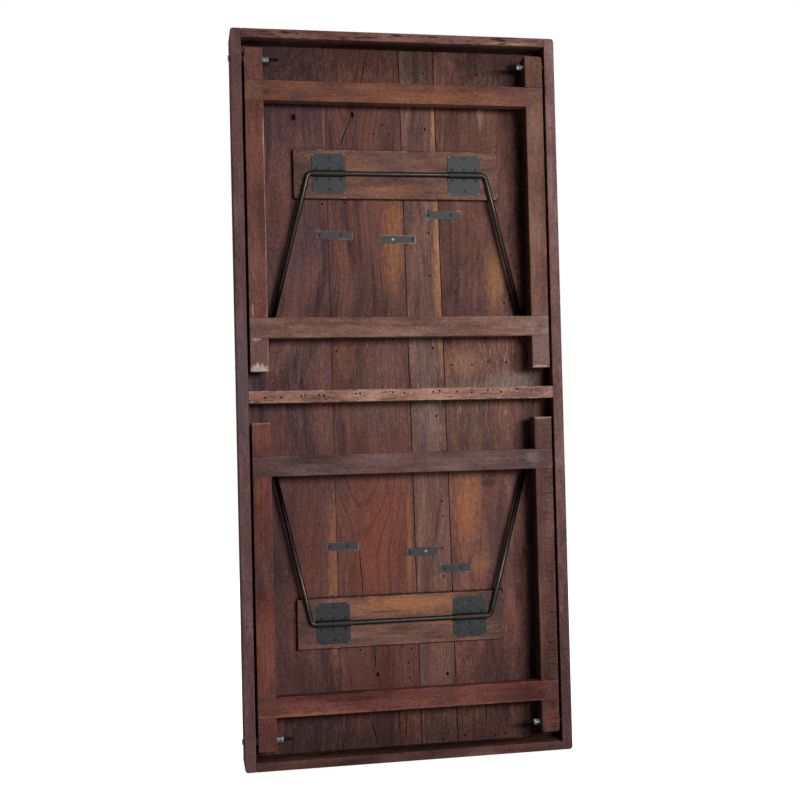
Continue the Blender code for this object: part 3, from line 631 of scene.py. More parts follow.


# Each row: tones, warm tint, seed, figure, tilt of the pith, and patches of colour: stains, and on plank_4
# also a painted shadow.
PLANKS = {
    "plank_1": (("382a2d", "59403f", "704a43"), "76413a", 21, (46, 260, 0.7), 2.0, [
        underside_patch(120, 1490, 130, 130, "442b29", 0.55),
        underside_patch(216, 200, 9, 75, "916244", 0.6),
        underside_patch(150, 1150, 80, 300, "5b342c", 0.6),
        underside_patch(215, 1250, 22, 270, "8a5a42", 0.8),
        underside_patch(130, 150, 130, 150, "392a2b", 0.55),
        underside_patch(95, 500, 40, 300, "463536", 0.6),
        underside_patch(143, 182, 9, 16, "24181a", 0.8),
        underside_patch(95, 850, 70, 150, "3f3030", 0.65),
        underside_patch(195, 810, 40, 150, "6e4a46", 0.6),
        underside_patch(95, 1240, 60, 270, "412f30", 0.6),
    ]),
    "plank_2": (("412d2d", "60423d", "754b40"), "7a4838", 22, (46, 330, 0.9), 3.0, [
        underside_patch(372, 455, 36, 170, "925e3f", 0.75),
        underside_patch(391, 1160, 9, 150, "91633f", 0.8),
        underside_patch(280, 173, 10, 22, "2a1b1a", 0.8),
        underside_patch(310, 180, 120, 130, "4a3230", 0.5),
        underside_patch(320, 1150, 110, 300, "7a4233", 0.6),
        underside_patch(310, 1490, 110, 120, "5c332b", 0.6),
        underside_patch(330, 840, 110, 120, "5f4b46", 0.5),
        underside_patch(268, 775, 42, 110, "4b342e", 0.65),
        underside_patch(360, 765, 42, 90, "74504c", 0.7),
    ]),
    "plank_3": (("473534", "674b44", "7d5e54"), "7a5142", 23, (22, 360, 0.6), 2.0, [
        underside_patch(482, 480, 22, 350, "a57350", 0.85),
        underside_patch(471, 190, 7, 110, "9d6d4a", 0.85),
        underside_patch(440, 850, 44, 190, "725e57", 0.6),
        underside_patch(440, 1560, 40, 80, "462f2b", 0.5),
    ]),
    "plank_4": (("3b292b", "60403a", "7c5249"), "815446", 24, (52, 210, 0.6), 3.0, [
        underside_patch(585, 280, 110, 320, "51362c", 0.65),
        underside_patch(612, 548, 34, 80, "8a6440", 0.7),
        underside_patch(535, 745, 60, 65, "8c6550", 0.7),
        underside_patch(528, 1095, 48, 150, "925e41", 0.75),
        underside_patch(560, 1225, 30, 30, "8c5f44", 0.6),
        underside_patch(520, 510, 24, 60, "35302f", 0.65),
        underside_patch(585, 165, 13, 48, "8f7566", 0.6),
        underside_patch(590, 1130, 60, 100, "553f39", 0.4),
        underside_patch(590, 1480, 160, 120, "3c2927", 0.6),
        underside_patch(578, 1035, 22, 16, "33241f", 0.7),
        # Painted shadow: the next two dark bands stand in for the shadow that the right posts cast on the
        # plank.
        underside_patch(690, 480, 38, 480, "150d0b", 0.8),
        underside_patch(690, 1260, 38, 480, "150d0b", 0.75),
        underside_patch(640, 800, 90, 40, "7d716c", 0.6),
        underside_patch(545, 810, 90, 26, "7a6a63", 0.5),
        underside_patch(560, 900, 120, 110, "5f493f", 0.55),
    ]),
}
print("the planks' face lies at", round(PLANK_FACE_Y, 4), "m")

# %% Dress the planks
SEAM_LEAN = math.atan(20 / TABLE_LENGTH_MM)
CLEAT_BOXES = [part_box("upper_cleat"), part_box("lower_cleat")]
# dust all over a plank, and in the streaks near its middle
PLANK_DUST = {"plank_1": (0.15, 0.3), "plank_2": (0.15, 0.3), "plank_3": (0.22, 0.65), "plank_4": (0.22, 0.6)}
for plank, (tones, warm, seed, figure, tilt, colour_patches) in PLANKS.items():
    low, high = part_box(plank)
    across = (low.x + high.x) * 500 + TABLE_WIDTH_MM / 2
    # Painted shade: each plank is painted darker at both ends, in the recess under the end rails.
    painted_shade = [underside_patch(across, 25, 220, 105, "2b1c1b", 0.7), underside_patch(across, 1625, 220, 125, "2c1c1b", 0.65)]
    dust, settled = PLANK_DUST[plank]
    wood = old_hardwood(
        f"old_hardwood.{plank}", (low, high), "Z", tones, warm, "a0846f", 0.0, seed, figure, tilt, SEAM_LEAN,
        patches=colour_patches + painted_shade, pores=0.2, dust=dust, bend=0.08, against=CLEAT_BOXES,
        dusty=underside_patch(across, 800, 150, 170, PALE_DUST, settled),
    )
    dress(plank, wood)
print(len(PLANKS), "planks have their wood")

# %% [markdown]
# The two cleats are short boards, fixed across the planks, that carry the saddles of the braces. Their
# edges are rubbed pale, and the wood round the steel has gone grey, so they get rows of stains as the
# planks do.

# %% Dress the cleats
CLEAT_FACE_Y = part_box("upper_cleat")[0].y
CLEATS = {
    "upper_cleat": (("533a34", "6b4b41", "805e50"), 31, [
        underside_patch(130, 318, 70, 120, "453433", 0.85, CLEAT_FACE_Y),
        underside_patch(612, 318, 30, 90, "5d4440", 0.6, CLEAT_FACE_Y),
        underside_patch(370, 350, 110, 14, "86593f", 0.6, CLEAT_FACE_Y),
    ]),
    "lower_cleat": (("4e3933", "6a4c45", "815e50"), 32, [
        underside_patch(370, 1304, 190, 34, "996748", 0.85, CLEAT_FACE_Y),
        underside_patch(330, 1320, 60, 5, "4c352f", 0.7, CLEAT_FACE_Y),
        underside_patch(600, 1330, 60, 110, "4a3938", 0.85, CLEAT_FACE_Y),
        underside_patch(140, 1330, 60, 110, "4c3836", 0.8, CLEAT_FACE_Y),
    ]),
}
for cleat, (tones, seed, colour_patches) in CLEATS.items():
    wood = old_hardwood(
        f"old_hardwood.{cleat}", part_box(cleat), "X", tones, "7a5344", "b48661", 0.75, seed,
        figure=(30, 130, 0.4), patches=colour_patches,
    )
    dress(cleat, wood)
print(len(CLEATS), "cleats have their wood")

# %% [markdown]
# Nail holes, lost knots and drying cracks are real hollows, so they are cut, not painted. A CAD mesh must
# keep its vertices, which a Boolean modifier respects: it takes a hidden cutter away when the mesh is
# shown. The frame stores each triangle apart, so a Weld modifier joins them first, because a Boolean needs
# a closed solid. All hollows of one board are a single cutter, parented to the board so that it moves
# along. The cutter's dark material is carried over to the walls of the hollow, like the old dirt that
# fills them.

# %% Packed dirt
WELD_GAP = 0.00001


def grimy_wood():
    """Dirt and old wax packed in holes and cracks: almost black, matt and a little uneven."""
    material, tree = new_material("packed_dirt")
    point = add_node(tree, "TexCoord", {}, out="Object")
    crumbs = grain_noise(tree, point, "Y", 3, 3, 40)
    colour = add_node(tree, "ValToRGB", {"Fac": crumbs}, stops=((0.3, "0d0908"), (0.7, "221714")))
    surface = add_node(
        tree, "BsdfPrincipled", {"Base Color": colour, "Roughness": 0.9, "Specular IOR Level": 0.1}
    )
    add_node(tree, "OutputMaterial", {"Surface": surface})
    return material


def weld(node):
    """Joins the loose triangles of a CAD node, so that other modifiers see one solid."""
    modifier = node.modifiers.new("weld", "WELD")
    modifier.merge_threshold = WELD_GAP


def bevel_edges(node, label, width, segments, material_index=-1):
    """Joins a node's triangles and bevels its sharp edges; index -1 keeps the material of the sides."""
    weld(node)
    bevel = node.modifiers.new(label, "BEVEL")
    bevel.width = width
    bevel.segments = segments
    bevel.limit_method = "ANGLE"
    bevel.material = material_index


PACKED_DIRT = grimy_wood()
print("made", PACKED_DIRT.name)

# %% Helpers for hollows
HOLE_SIDES = 12
HOLLOW_DEPTH = 0.004
CUTTER_RISE = 0.002
# No ring of a cutter lies right in the face, because that would leave slivers.
RIM_DEPTH = 0.0003


def add_rings(shape, rings):
    """Joins rings of vertices into a closed tube."""
    count = len(rings[0])
    for near, far in zip(rings, rings[1:]):
        for step in range(count):
            after = (step + 1) % count
            shape.faces.new((near[step], near[after], far[after], far[step]))
    shape.faces.new(rings[0][::-1])
    shape.faces.new(rings[-1])


def as_object(shape, name, material=None):
    """Turns a finished bmesh into an object of the scene."""
    mesh = bpy.data.meshes.new(name)
    shape.to_mesh(mesh)
    shape.free()
    if material:
        mesh.materials.append(material)
    piece = bpy.data.objects.new(name, mesh)
    bpy.context.scene.collection.objects.link(piece)
    return piece


def add_hole(shape, centre, radius, dice, long=1.0):
    """Adds a tapered pit with an uneven rim, long times as high as wide, cut in the direction of +Y."""
    rims = []
    for y, share in ((-CUTTER_RISE, 1.08), (RIM_DEPTH, 1.0), (HOLLOW_DEPTH + radius / 2, 0.6)):
        rim = []
        for step in range(HOLE_SIDES):
            angle = 2 * math.pi * step / HOLE_SIDES
            reach = radius * share * dice.uniform(0.85, 1.15)
            offset = Vector((math.cos(angle) * reach, y, math.sin(angle) * reach * long))
            rim.append(shape.verts.new(centre + offset))
        rims.append(rim)
    add_rings(shape, rims)


def add_crack(shape, places, half_width, dice):
    """Adds a crack along these points: a wedge that narrows with depth and towards both ends."""
    rings = []
    for number, place in enumerate(places):
        inside = 0 < number < len(places) - 1
        half = half_width * dice.uniform(0.7, 1.2) if inside else half_width * 0.5
        foot = half * 0.2
        outline = ((-half, -CUTTER_RISE), (half, -CUTTER_RISE), (foot, HOLLOW_DEPTH), (-foot, HOLLOW_DEPTH))
        rings.append([shape.verts.new(place + Vector((x, y, 0.0))) for x, y in outline])
    add_rings(shape, rings)


def cut_hollows(node_name, holes, cracks, seed):
    """Cuts holes (across, down, radius and maybe height ratio) and cracks (half width, places), in mm."""
    dice = random.Random(seed)
    face_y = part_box(node_name)[0].y
    shape = bmesh.new()
    for across, down, radius_mm, *ratio in holes:
        add_hole(shape, on_underside(across, down, face_y), radius_mm / 1000, dice, *ratio)
    for half_width_mm, places in cracks:
        path = [on_underside(across, down, face_y) for across, down in places]
        add_crack(shape, path, half_width_mm / 1000, dice)
    bmesh.ops.recalc_face_normals(shape, faces=shape.faces)
    cutter = as_object(shape, f"{node_name}.hollows", PACKED_DIRT)
    cutter.parent = nodes[node_name]
    cutter.hide_render = True
    boolean = nodes[node_name].modifiers.new("hollows", "BOOLEAN")
    boolean.object = cutter
    boolean.solver = "EXACT"
    boolean.material_mode = "TRANSFER"
    print(f"{node_name}: {len(holes)} holes and {len(cracks)} cracks")


# %% [markdown]
# The planks were nailed more than once, so old holes follow the seams and the bars, and a few knots have
# fallen out. Each hole is listed by its place on the underside and its radius, and a long one also by how
# much taller than wide it is. A crack is a half width and the places that it runs through. The planks'
# edges are bevelled as well, and the bevel is filled with dirt, so that the seams read as dark lines.

# %% Nail holes, knots and cracks in the planks
SEAM_BEVEL = 0.0011
PLANK_HOLES = {
    "plank_1": [
        (143, 182, 5.0, 1.6), (205, 381, 2.4, 1.2), (200, 844, 2.4), (62, 300, 2.0), (60, 620, 2.0),
    ],
    "plank_2": [
        (280, 173, 4.0, 1.8), (350, 195, 2.4, 1.1), (330, 216, 2.2), (367, 216, 2.2), (347, 155, 2.0),
        (257, 378, 2.2), (231, 721, 2.2), (309, 1465, 3.6, 1.3), (390, 1410, 2.4), (382, 1442, 2.2),
        (384, 1477, 2.2), (396, 1498, 2.4), (368, 1404, 2.0), (232, 1391, 2.2), (271, 1407, 2.2),
    ],
    "plank_3": [
        (450, 72, 2.4), (451, 203, 2.4, 1.2), (455, 395, 2.2), (454, 447, 2.2), (455, 547, 2.2),
        (457, 716, 2.4), (462, 875, 2.4), (470, 1073, 2.4), (471, 1107, 2.2), (467, 1183, 2.4),
        (470, 1247, 2.2), (473, 1473, 3.4, 1.2), (458, 1624, 2.2),
    ],
    "plank_4": [
        (579, 71, 2.4), (501, 756, 2.4), (550, 756, 2.4), (589, 750, 2.4), (633, 752, 2.4),
        (632, 612, 2.2), (511, 1617, 2.4), (607, 1619, 2.4), (560, 1625, 2.2), (584, 1624, 2.2),
        (655, 1623, 2.0),
    ],
}
PLANK_CRACKS = {
    "plank_1": [],
    "plank_2": [
        (1.3, [(318, 25), (310, 62), (302, 100), (291, 140), (284, 160)]),
        (2.2, [(274, 184), (269, 198), (263, 212), (256, 230), (251, 246)]),
        (1.5, [(304, 1402), (304, 1425), (305, 1452)]),
        (1.5, [(292, 1568), (296, 1586), (303, 1607), (307, 1624)]),
        (1.3, [(357, 1520), (358, 1560), (357, 1618)]),
        (1.3, [(372, 1540), (373, 1580), (372, 1618)]),
        (1.5, [(274, 1180), (275, 1215), (278, 1240), (279, 1290)]),
    ],
    "plank_3": [],
    "plank_4": [(1.3, [(562, 1520), (563, 1560), (562, 1614)])],
}
for number, plank in enumerate(PLANK_HOLES):
    nodes[plank].data.materials.append(PACKED_DIRT)
    bevel_edges(nodes[plank], "seam", SEAM_BEVEL, segments=1, material_index=1)
    cut_hollows(plank, PLANK_HOLES[plank], PLANK_CRACKS[plank], seed=100 + number)

# %% Nail holes in the crossbar and the rails
CROSSBAR_DOWN = TABLE_LENGTH_MM - 825
CROSSBAR_NAIL_MM = 2.3
CROSSBAR_NAILS = (
    (60, 1), (97, 1), (142, -1), (151, -3), (181, -3), (192, -1), (265, -4), (274, -4), (348, -6),
    (375, -3), (442, -5), (457, -7), (498, -4), (532, -2), (570, -6), (601, -2), (640, -8),
)
weld(nodes["crossbar"])
crossbar_holes = [(across, CROSSBAR_DOWN + rise, CROSSBAR_NAIL_MM) for across, rise in CROSSBAR_NAILS]
cut_hollows("crossbar", crossbar_holes, [], seed=110)

RAIL_NAIL_MM = 1.6
RAIL_NAILS = {
    "left_side_rail": [(12, 120), (11, 520), (13, 905), (12, 1330)],
    "right_side_rail": [(738, 210), (739, 640), (737, 1010), (738, 1440)],
    "top_end_rail": [(150, 9), (330, 11), (560, 10)],
    "bottom_end_rail": [(180, 1641), (420, 1639), (600, 1641)],
}
for number, (rail, places) in enumerate(RAIL_NAILS.items()):
    weld(nodes[rail])
    cut_hollows(rail, [(across, down, RAIL_NAIL_MM) for across, down in places], [], seed=120 + number)

# %% [markdown]
# The planks only meet edge to edge, so light would show through the seams. On an old table dirt and wax
# have filled them. A thin uneven bar in each seam does the same: it runs along the edge of the plank at
# its left, which leans because the planks are tapered, and it lies deep enough to leave a dark line on
# both faces.

# %% Dirt in the seams
SEAM_INSET = 0.004
SEAM_HALF = 0.0007
SEAM_UNEVEN = 0.001
SEAM_STEPS = 60


def seam_ends(plank):
    """The upper and the lower end of a plank's right edge, at the front face."""
    corners = [vertex.co for vertex in nodes[plank].data.vertices]
    low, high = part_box(plank)
    upper = max(corner.x for corner in corners if high.z - corner.z < SEAM_INSET)
    lower = max(corner.x for corner in corners if corner.z - low.z < SEAM_INSET)
    return Vector((upper, low.y, high.z - SEAM_INSET)), Vector((lower, low.y, low.z + SEAM_INSET))


shape = bmesh.new()
dice = random.Random(150)
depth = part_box("plank_1")[1].y - PLANK_FACE_Y
for plank in ("plank_1", "plank_2", "plank_3"):
    upper, lower = seam_ends(plank)
    rings = []
    for step in range(SEAM_STEPS + 1):
        place = upper.lerp(lower, step / SEAM_STEPS)
        front = SEAM_INSET + dice.uniform(-SEAM_UNEVEN, SEAM_UNEVEN)
        back = depth - SEAM_INSET + dice.uniform(-SEAM_UNEVEN, SEAM_UNEVEN)
        outline = ((-SEAM_HALF, front), (SEAM_HALF, front), (SEAM_HALF, back), (-SEAM_HALF, back))
        rings.append([shape.verts.new(place + Vector((x, y, 0.0))) for x, y in outline])
    add_rings(shape, rings)
bmesh.ops.recalc_face_normals(shape, faces=shape.faces)
seam_dirt = as_object(shape, "seam_dirt", PACKED_DIRT)
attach(seam_dirt, "top")
print("3 seams are closed")

# %% [markdown]
# The ironwork is mild steel that was blackened in oil and has been handled since. A blackened metal is
# still a metal, so metallic stays 1 with the default IOR; the base colour is a dark grey, and the surface
# is fairly rough. Where it is rubbed, on the rims of the plates, the lighter steel shows. The rods keep a
# thin film of oil, which a weak coat gives. The nuts are zinc plated and bright, the lap screws are
# rusted, and two screws have lost their black.

# %% Blackened and plated steel
ROD_TONES = ("171614", "292621")
MOTTLE_MM = 7
RIM_RAGGED = 0.004
ROUGH_SPREAD = 0.08
KNUCKLE_FADE = 0.002
OIL_ROUGHNESS = 0.2


def forged_steel(name, tones, roughness, seed, box=None, rim=None, knuckle_y=None, oil=0.0):
    """Blackened or plated steel; tones are its dark and light colours.

    A rim is the colour of rubbed edges, its strength, and the distances from the edges of the box between
    which it fades. What stands out in front of knuckle_y has the colour of the rods.
    """
    material, tree = new_material(name)
    point = add_node(tree, "TexCoord", {}, out="Object")
    mottle = grain_noise(tree, point, "Y", MOTTLE_MM, MOTTLE_MM, seed, detail=4.0)
    colour = add_node(tree, "ValToRGB", {"Fac": mottle}, stops=((0.35, tones[0]), (0.65, tones[1])))
    layers = []
    if rim:
        rim_colour, strength, near, far = rim
        edge = edge_distance(tree, point, *box)
        uneven = add_node(
            tree, "Math", {"Value": mottle, "Value_001": RIM_RAGGED, "Value_002": edge},
            operation="MULTIPLY_ADD",
        )
        rubbed = add_node(
            tree, "MapRange",
            {"Value": uneven, "From Min": near, "From Max": far, "To Min": strength, "To Max": 0.0},
        )
        layers.append((rubbed, rim_colour))
    if knuckle_y is not None:
        depth = add_node(tree, "SeparateXYZ", {"Vector": point}, out="Y")
        limits = {"From Min": knuckle_y - KNUCKLE_FADE, "From Max": knuckle_y, "To Min": 0.9, "To Max": 0.0}
        knuckle = add_node(tree, "MapRange", {"Value": depth, **limits})
        layers.append((knuckle, ROD_TONES[1]))
    for mask, hex_code in layers:
        colour = add_node(
            tree, "Mix", {"Factor_Float": mask, "A_Color": colour, "B_Color": srgb(hex_code)},
            data_type="RGBA",
        )
    limits = {
        "From Min": 0.3, "From Max": 0.7,
        "To Min": roughness - ROUGH_SPREAD, "To Max": roughness + ROUGH_SPREAD,
    }
    spread = add_node(tree, "MapRange", {"Value": mottle, **limits})
    normal = add_node(tree, "Bump", {"Strength": 0.2, "Distance": 0.0003, "Height": mottle})
    surface = add_node(
        tree, "BsdfPrincipled",
        {
            "Base Color": colour, "Metallic": 1.0, "Roughness": spread, "Normal": normal,
            "Coat Weight": oil, "Coat Roughness": OIL_ROUGHNESS,
        },
    )
    add_node(tree, "OutputMaterial", {"Surface": surface})
    return material


ZINC = forged_steel("zinc_plated_steel", ("515355", "808284"), 0.36, 54)
DARK_STEEL = forged_steel("blackened_steel.bolts", ("1b1b1d", "303033"), 0.4, 55)
BRIGHT_SCREW = forged_steel("bare_steel.screws", ("4c4c4a", "6e6e6a"), 0.46, 56)
RUSTED_STEEL = forged_steel("rusted_steel.lap_screws", ("48352e", "5e463d"), 0.7, 57)
OLD_SCREW = forged_steel("blackened_steel.screws", ("1b1b1c", "2c2c2e"), 0.5, 58)
print("5 steels for bolts, nuts and screws")

# %% [markdown]
# Rods, saddles and plates get steels of their own: the rods are oiled, and a saddle or a plate is rubbed
# along its own outline. The box of a saddle is stretched in depth, so that only its outline counts as an
# edge and its knuckle doesn't.

# %% Dress the ironwork
SADDLE_SHEET = 0.0015
PLATE_BEVEL = 0.0006
HALVES = ("upper", "lower")
ENDS = [(half, side) for half in HALVES for side in ("left", "right")]
for half in HALVES:
    name = f"{half}_brace"
    dress(name, forged_steel(f"blackened_steel.{name}", ROD_TONES, 0.36, 51, oil=0.2))
    weld(nodes[name])
    nodes[name].data.shade_smooth()
for half, side in ENDS:
    name = f"{half}_{side}_saddle"
    low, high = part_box(name)
    flange_y = high.y - SADDLE_SHEET
    low.y -= 1
    high.y += 1
    steel = forged_steel(
        f"blackened_steel.{name}", ("222324", "303132"), 0.52, 52, (low, high),
        rim=("6a6a67", 0.5, 0.003, 0.008), knuckle_y=flange_y,
    )
    dress(name, steel)
for number in range(1, 7):
    name = f"mending_plate_{number}"
    steel = forged_steel(
        f"blackened_steel.{name}", ("2a2828", "373536"), 0.58, 53 + 2 * number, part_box(name),
        rim=("8e8984", 0.55, 0.0018, 0.0036),
    )
    dress(name, steel)
    bevel_edges(nodes[name], "soft_rim", PLATE_BEVEL, segments=2)
for half, side in ENDS:
    for piece in ("nut", "lock_nut", "washer"):
        dress(f"{half}_{side}_{piece}", ZINC)
    dress(f"{half}_{side}_spacer", DARK_STEEL)
    for rail in ("pivot", "foot"):
        dress(f"{half}_{side}_{rail}_lap_screw", RUSTED_STEEL)
print("braces, saddles, plates and small hardware have their steel")

# %% [markdown]
# The saddles and the mending plates are held by old slotted wood screws. One screw head is turned from a
# profile with bmesh's spin, and its slot is cut with a Boolean that is applied at once, because a new mesh
# may change. Copies of that head, each turned by its own angle, are then joined into one piece for each
# plate.

# %% One slotted screw head
HEAD_RADIUS = 0.0036
HEAD_HEIGHT = 0.0011
HEAD_SINK = 0.0006
SLOT_WIDTH = 0.0009
SLOT_DEPTH = 0.0008
SPIN_STEPS = 28


def slotted_head():
    """The mesh of one screw head on the origin, with its face towards -Y."""
    rim = HEAD_RADIUS
    profile = [
        (0.0, -HEAD_SINK), (rim * 0.9, -HEAD_SINK), (rim, 0.0), (rim * 0.97, HEAD_HEIGHT * 0.4),
        (rim * 0.8, HEAD_HEIGHT * 0.75), (rim * 0.45, HEAD_HEIGHT * 0.95), (0.0, HEAD_HEIGHT),
    ]
    shape = bmesh.new()
    points = [shape.verts.new((radius, -rise, 0.0)) for radius, rise in profile]
    lines = [shape.edges.new(pair) for pair in zip(points, points[1:])]
    bmesh.ops.spin(
        shape, geom=points + lines, axis=(0, 1, 0), cent=(0, 0, 0), angle=2 * math.pi, steps=SPIN_STEPS
    )
    bmesh.ops.remove_doubles(shape, verts=shape.verts, dist=WELD_GAP)
    bmesh.ops.recalc_face_normals(shape, faces=shape.faces)
    head = as_object(shape, "screw_head")
    shape = bmesh.new()
    bmesh.ops.create_cube(shape, size=1.0)
    bmesh.ops.scale(shape, vec=(4 * rim, 2 * SLOT_DEPTH, SLOT_WIDTH), verts=shape.verts)
    bmesh.ops.translate(shape, vec=(0, -HEAD_HEIGHT, 0), verts=shape.verts)
    slot = as_object(shape, "screw_slot")
    boolean = head.modifiers.new("slot", "BOOLEAN")
    boolean.object = slot
    boolean.solver = "EXACT"
    graph = bpy.context.evaluated_depsgraph_get()
    result = bpy.data.meshes.new_from_object(head.evaluated_get(graph))
    for helper in (head, slot):
        bpy.data.objects.remove(helper)
    return result


SCREW_HEAD = slotted_head()
print("a screw head of", len(SCREW_HEAD.polygons), "faces")

# %% Screws on the saddles and the plates
FLANGE_ROW = 0.0125
FLANGE_TIP = 0.037
ROW_SPACING = 0.028
TIP_SHIFT = 0.002


def add_screws(name, places, material, seed):
    """Joins one screw head for each place into a piece that rides on the table top."""
    dice = random.Random(seed)
    shape = bmesh.new()
    for place in places:
        first = len(shape.verts)
        shape.from_mesh(SCREW_HEAD)
        shape.verts.ensure_lookup_table()
        turn = Matrix.Translation(place) @ Matrix.Rotation(dice.uniform(0, math.pi), 4, "Y")
        bmesh.ops.transform(shape, matrix=turn, verts=shape.verts[first:])
    piece = as_object(shape, name, material)
    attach(piece, "top")


for number, (half, side) in enumerate(ENDS):
    low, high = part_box(f"{half}_{side}_saddle")
    middle = (low + high) / 2
    face_y = high.y - SADDLE_SHEET
    places = []
    for flange in (-1, 1):
        places.append(Vector((middle.x + TIP_SHIFT, face_y, middle.z + flange * FLANGE_TIP)))
        for across in (-ROW_SPACING, 0.0, ROW_SPACING):
            places.append(Vector((middle.x + across, face_y, middle.z + flange * FLANGE_ROW)))
    add_screws(f"{half}_{side}_saddle_screws", places, OLD_SCREW, seed=200 + number)

# number of the plate: places of its screws as shares of its length, from its left end
DARK_SCREWS = {1: (0.10, 0.68), 2: (0.93,), 3: (0.10, 0.73), 4: (0.11, 0.65), 5: (0.08,), 6: (0.15, 0.66)}
BRIGHT_SCREWS = {2: (0.36,), 5: (0.58,)}
for label, shares_by_plate, steel in (
    ("screws", DARK_SCREWS, OLD_SCREW), ("bright_screw", BRIGHT_SCREWS, BRIGHT_SCREW)
):
    for number, shares in shares_by_plate.items():
        low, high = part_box(f"mending_plate_{number}")
        height = (low.z + high.z) / 2
        places = [Vector((low.x + share * (high.x - low.x), low.y, height)) for share in shares]
        add_screws(f"mending_plate_{number}_{label}", places, steel, seed=210 + number)
print("screw heads on 4 saddles and 6 plates")

# %% [markdown]
# Each leg turns on a coach bolt: a domed head outside the side rail, a square neck that keeps it from
# turning, and a threaded end that sticks out past two nuts. The CAD bolt has a plain shaft, so a piece
# with a real M8 thread replaces it; the neck lies hidden in the rail, so the new piece leaves it out. A
# thread is a V that climbs one pitch with each turn. Walking round the shaft and lifting the ring of
# points a little at each step draws it, and add_rings closes the two ends.

# %% Coach bolts with a real thread
PITCH = 0.00125
THREAD_RADIUS = 0.004
CORE_RADIUS = 0.0033
THREAD_LENGTH = 0.052
RINGS_PER_PITCH = 4
FADING_RINGS = 6
TURN_STEPS = 20
DOME_HEIGHT = 0.005
# distance from the top of the head, and share of its radius
DOME = ((0.0, 0.12), (0.0004, 0.42), (0.0013, 0.68), (0.0026, 0.88), (0.0040, 0.98), (DOME_HEIGHT, 1.0))


def coach_bolt(name, low, high, side):
    """A coach bolt in the box of its CAD node; side is -1 where the head is at the left, 1 at the right."""
    shape = bmesh.new()
    axis_y = (low.y + high.y) / 2
    axis_z = (low.z + high.z) / 2
    head = low.x if side < 0 else high.x
    head_radius = (high.z - low.z) / 2
    plain_end = high.x - low.x - THREAD_LENGTH

    def ring(along, radius_at):
        """A ring of points this far from the top of the head; radius_at takes the share of a turn."""
        points = []
        for step in range(TURN_STEPS):
            turn = step / TURN_STEPS
            angle = 2 * math.pi * turn
            y = axis_y + radius_at(turn) * math.cos(angle)
            z = axis_z + radius_at(turn) * math.sin(angle)
            points.append(shape.verts.new((head - side * along, y, z)))
        return points

    rings = [ring(along, lambda turn, share=share: head_radius * share) for along, share in DOME]
    for along in (DOME_HEIGHT, plain_end):
        rings.append(ring(along, lambda turn: THREAD_RADIUS))
    add_rings(shape, rings)

    threads = []
    count = int(THREAD_LENGTH / PITCH * RINGS_PER_PITCH)
    for number in range(count + 1):

        def helix(turn, number=number):
            phase = (number / RINGS_PER_PITCH + turn) % 1.0
            ridge = 1.0 - abs(phase * 2 - 1)
            fade = min(1.0, (count - number) / FADING_RINGS + 0.3)
            return CORE_RADIUS + (THREAD_RADIUS - CORE_RADIUS) * ridge * fade

        threads.append(ring(plain_end + number * PITCH / RINGS_PER_PITCH, helix))
    add_rings(shape, threads)
    bmesh.ops.recalc_face_normals(shape, faces=shape.faces)
    return as_object(shape, name, DARK_STEEL)


for half, side in ENDS:
    node_name = f"{half}_{side}_pivot_bolt"
    low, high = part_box(node_name)
    bolt = coach_bolt(f"{half}_{side}_coach_bolt", low, high, -1 if side == "left" else 1)
    body = nodes[node_name].parent.name.split(":")[1]
    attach(bolt, body)
    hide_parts(node_name)
print("4 coach bolts with an M8 thread")

# %% [markdown]
# The studio is white all round, as in a catalogue. A white backdrop needs no extra lamp: the world shows
# white to the camera and in reflections, through the Light Path node, while only a weak even light from it
# falls on the wood. The floor is a matt pale grey paint that takes the shadow, and it glows to the camera
# in the same way, fully from three metres on and a little less round the table, so that it reads as white.

# %% World and floor
AMBIENT = 0.04
FLOOR_GLOW = 0.85
GLOW_REACH = (0.8, 3.0)
FLOOR_SIZE = 24.0
FLOOR_GAP = 0.0005


def seen_directly(tree):
    """1 for camera, glossy and transmission rays, which show the background, 0 for light on the table."""
    path = add_node(tree, "LightPath", {}).node.outputs
    pair = {"Value": path["Is Camera Ray"], "Value_001": path["Is Glossy Ray"]}
    shown = add_node(tree, "Math", pair, operation="MAXIMUM")
    pair = {"Value": shown, "Value_001": path["Is Transmission Ray"]}
    return add_node(tree, "Math", pair, operation="MAXIMUM")


def white_floor():
    """Matt pale grey paint that glows to the camera, more so far from the table, and so reads as white."""
    material, tree = new_material("white_floor_paint")
    point = add_node(tree, "TexCoord", {}, out="Object")
    away = add_node(tree, "VectorMath", {"Vector": point}, operation="LENGTH")
    limits = {"From Min": GLOW_REACH[0], "From Max": GLOW_REACH[1], "To Min": FLOOR_GLOW}
    glow = add_node(tree, "MapRange", {"Value": away, **limits})
    pair = {"Value": glow, "Value_001": seen_directly(tree)}
    strength = add_node(tree, "Math", pair, operation="MULTIPLY")
    light = add_node(tree, "Emission", {"Color": srgb("ffffff"), "Strength": strength})
    paint = add_node(tree, "BsdfDiffuse", {"Color": srgb("b4b4b4")})
    both = add_node(tree, "AddShader", {"Shader": light, "Shader_001": paint})
    add_node(tree, "OutputMaterial", {"Surface": both})
    return material


world = bpy.data.worlds.new("white_studio")
world.use_nodes = True
bpy.context.scene.world = world
sky = world.node_tree
sky.nodes.clear()
ambient = add_node(sky, "Background", {"Color": srgb("ffffff"), "Strength": AMBIENT})
backdrop = add_node(sky, "Background", {"Color": srgb("ffffff"), "Strength": 1.0})
mixed = add_node(sky, "MixShader", {"Fac": seen_directly(sky), "Shader": ambient, "Shader_001": backdrop})
add_node(sky, "OutputWorld", {"Surface": mixed})

shape = bmesh.new()
bmesh.ops.create_grid(shape, x_segments=8, y_segments=8, size=FLOOR_SIZE / 2)
floor = as_object(shape, "studio_floor", white_floor())
floor.location.z = cad_low.z - FLOOR_GAP
print(f"a white world and a floor of {FLOOR_SIZE:g} m")

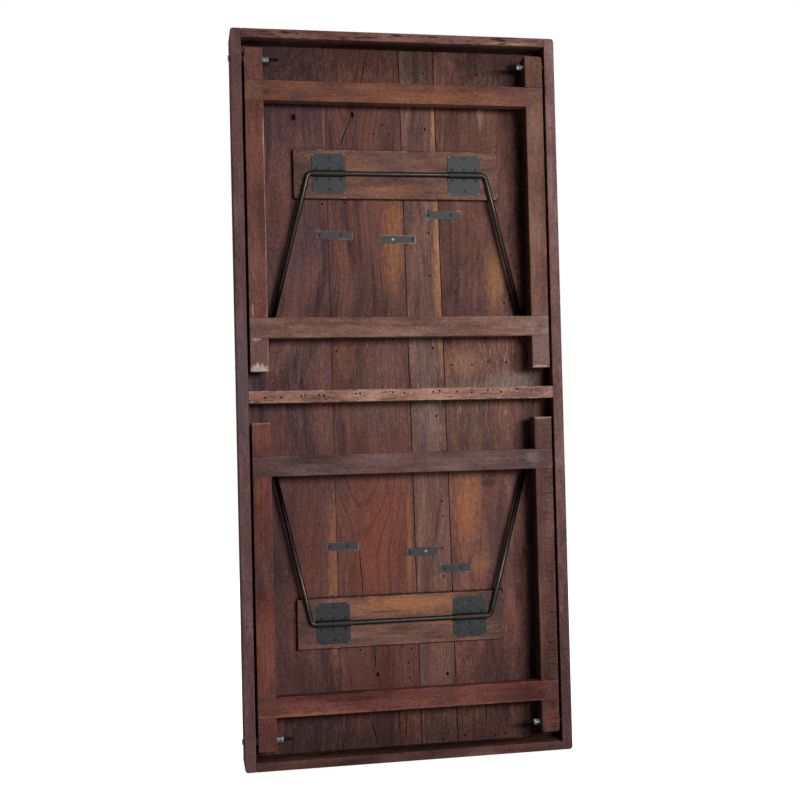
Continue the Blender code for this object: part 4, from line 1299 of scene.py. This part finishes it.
# %% [markdown]
# Soft light in a studio comes from large lamps. One broad lamp stands in front at the right, at the height
# of the table's upper half, and models the wood; weak ones at the left, the right, behind and above lift
# the other sides. Area lamps are used, because their size makes the shadows soft.

# %% Lamps
# name: place, target, width and height of the lamp, power
LAMPS = {
    "key": ((1.45, -3.3, 1.45), (0.0, 0.0, 0.85), (1.9, 0.8), 135.0),
    "left_fill": ((-2.8, 1.4, 1.6), (0.0, 0.0, 0.8), (1.6, 1.6), 38.0),
    "right_fill": ((2.8, 1.4, 1.6), (0.0, 0.0, 0.8), (1.6, 1.6), 18.0),
    "back_fill": ((0.4, 3.4, 2.0), (0.0, 0.0, 0.8), (2.0, 2.0), 70.0),
    "top_fill": ((0.0, 1.3, 4.0), (0.0, 0.0, 1.6), (1.6, 1.6), 60.0),
}
for name, (place, target, (width, height), power) in LAMPS.items():
    lamp = bpy.data.lights.new(name, "AREA")
    lamp.shape = "RECTANGLE"
    lamp.size = width
    lamp.size_y = height
    lamp.energy = power
    lamp_object = bpy.data.objects.new(name, lamp)
    lamp_object.location = place
    lamp_object.rotation_euler = (Vector(target) - Vector(place)).to_track_quat("-Z", "Y").to_euler()
    bpy.context.scene.collection.objects.link(lamp_object)
print(len(LAMPS), "lamps")

# %% [markdown]
# The camera stands a little left of the table and at half its height, so that the left rail shows its
# outer face. A lens of 54 mm on a 36 mm sensor gives the picture's perspective, and three small angles
# turn it.

# %% Camera
CAMERA_PLACE = (-0.5014, -2.7137, 0.7499)
YAW, PITCH_UP, ROLL = -10.421, 1.325, 1.393
lens = bpy.data.cameras.new("camera")
lens.lens = 54.0
lens.sensor_width = 36.0
camera = bpy.data.objects.new("camera", lens)
upright = Matrix.Rotation(math.radians(90), 4, "X")
turned = Matrix.Rotation(math.radians(YAW), 4, "Z") @ Matrix.Rotation(math.radians(PITCH_UP), 4, "X")
rolled = turned @ Matrix.Rotation(math.radians(ROLL), 4, "Y")
camera.matrix_world = Matrix.Translation(CAMERA_PLACE) @ rolled @ upright
bpy.context.scene.collection.objects.link(camera)
bpy.context.scene.camera = camera
bpy.context.scene.view_settings.view_transform = "Standard"
print("camera at", CAMERA_PLACE)
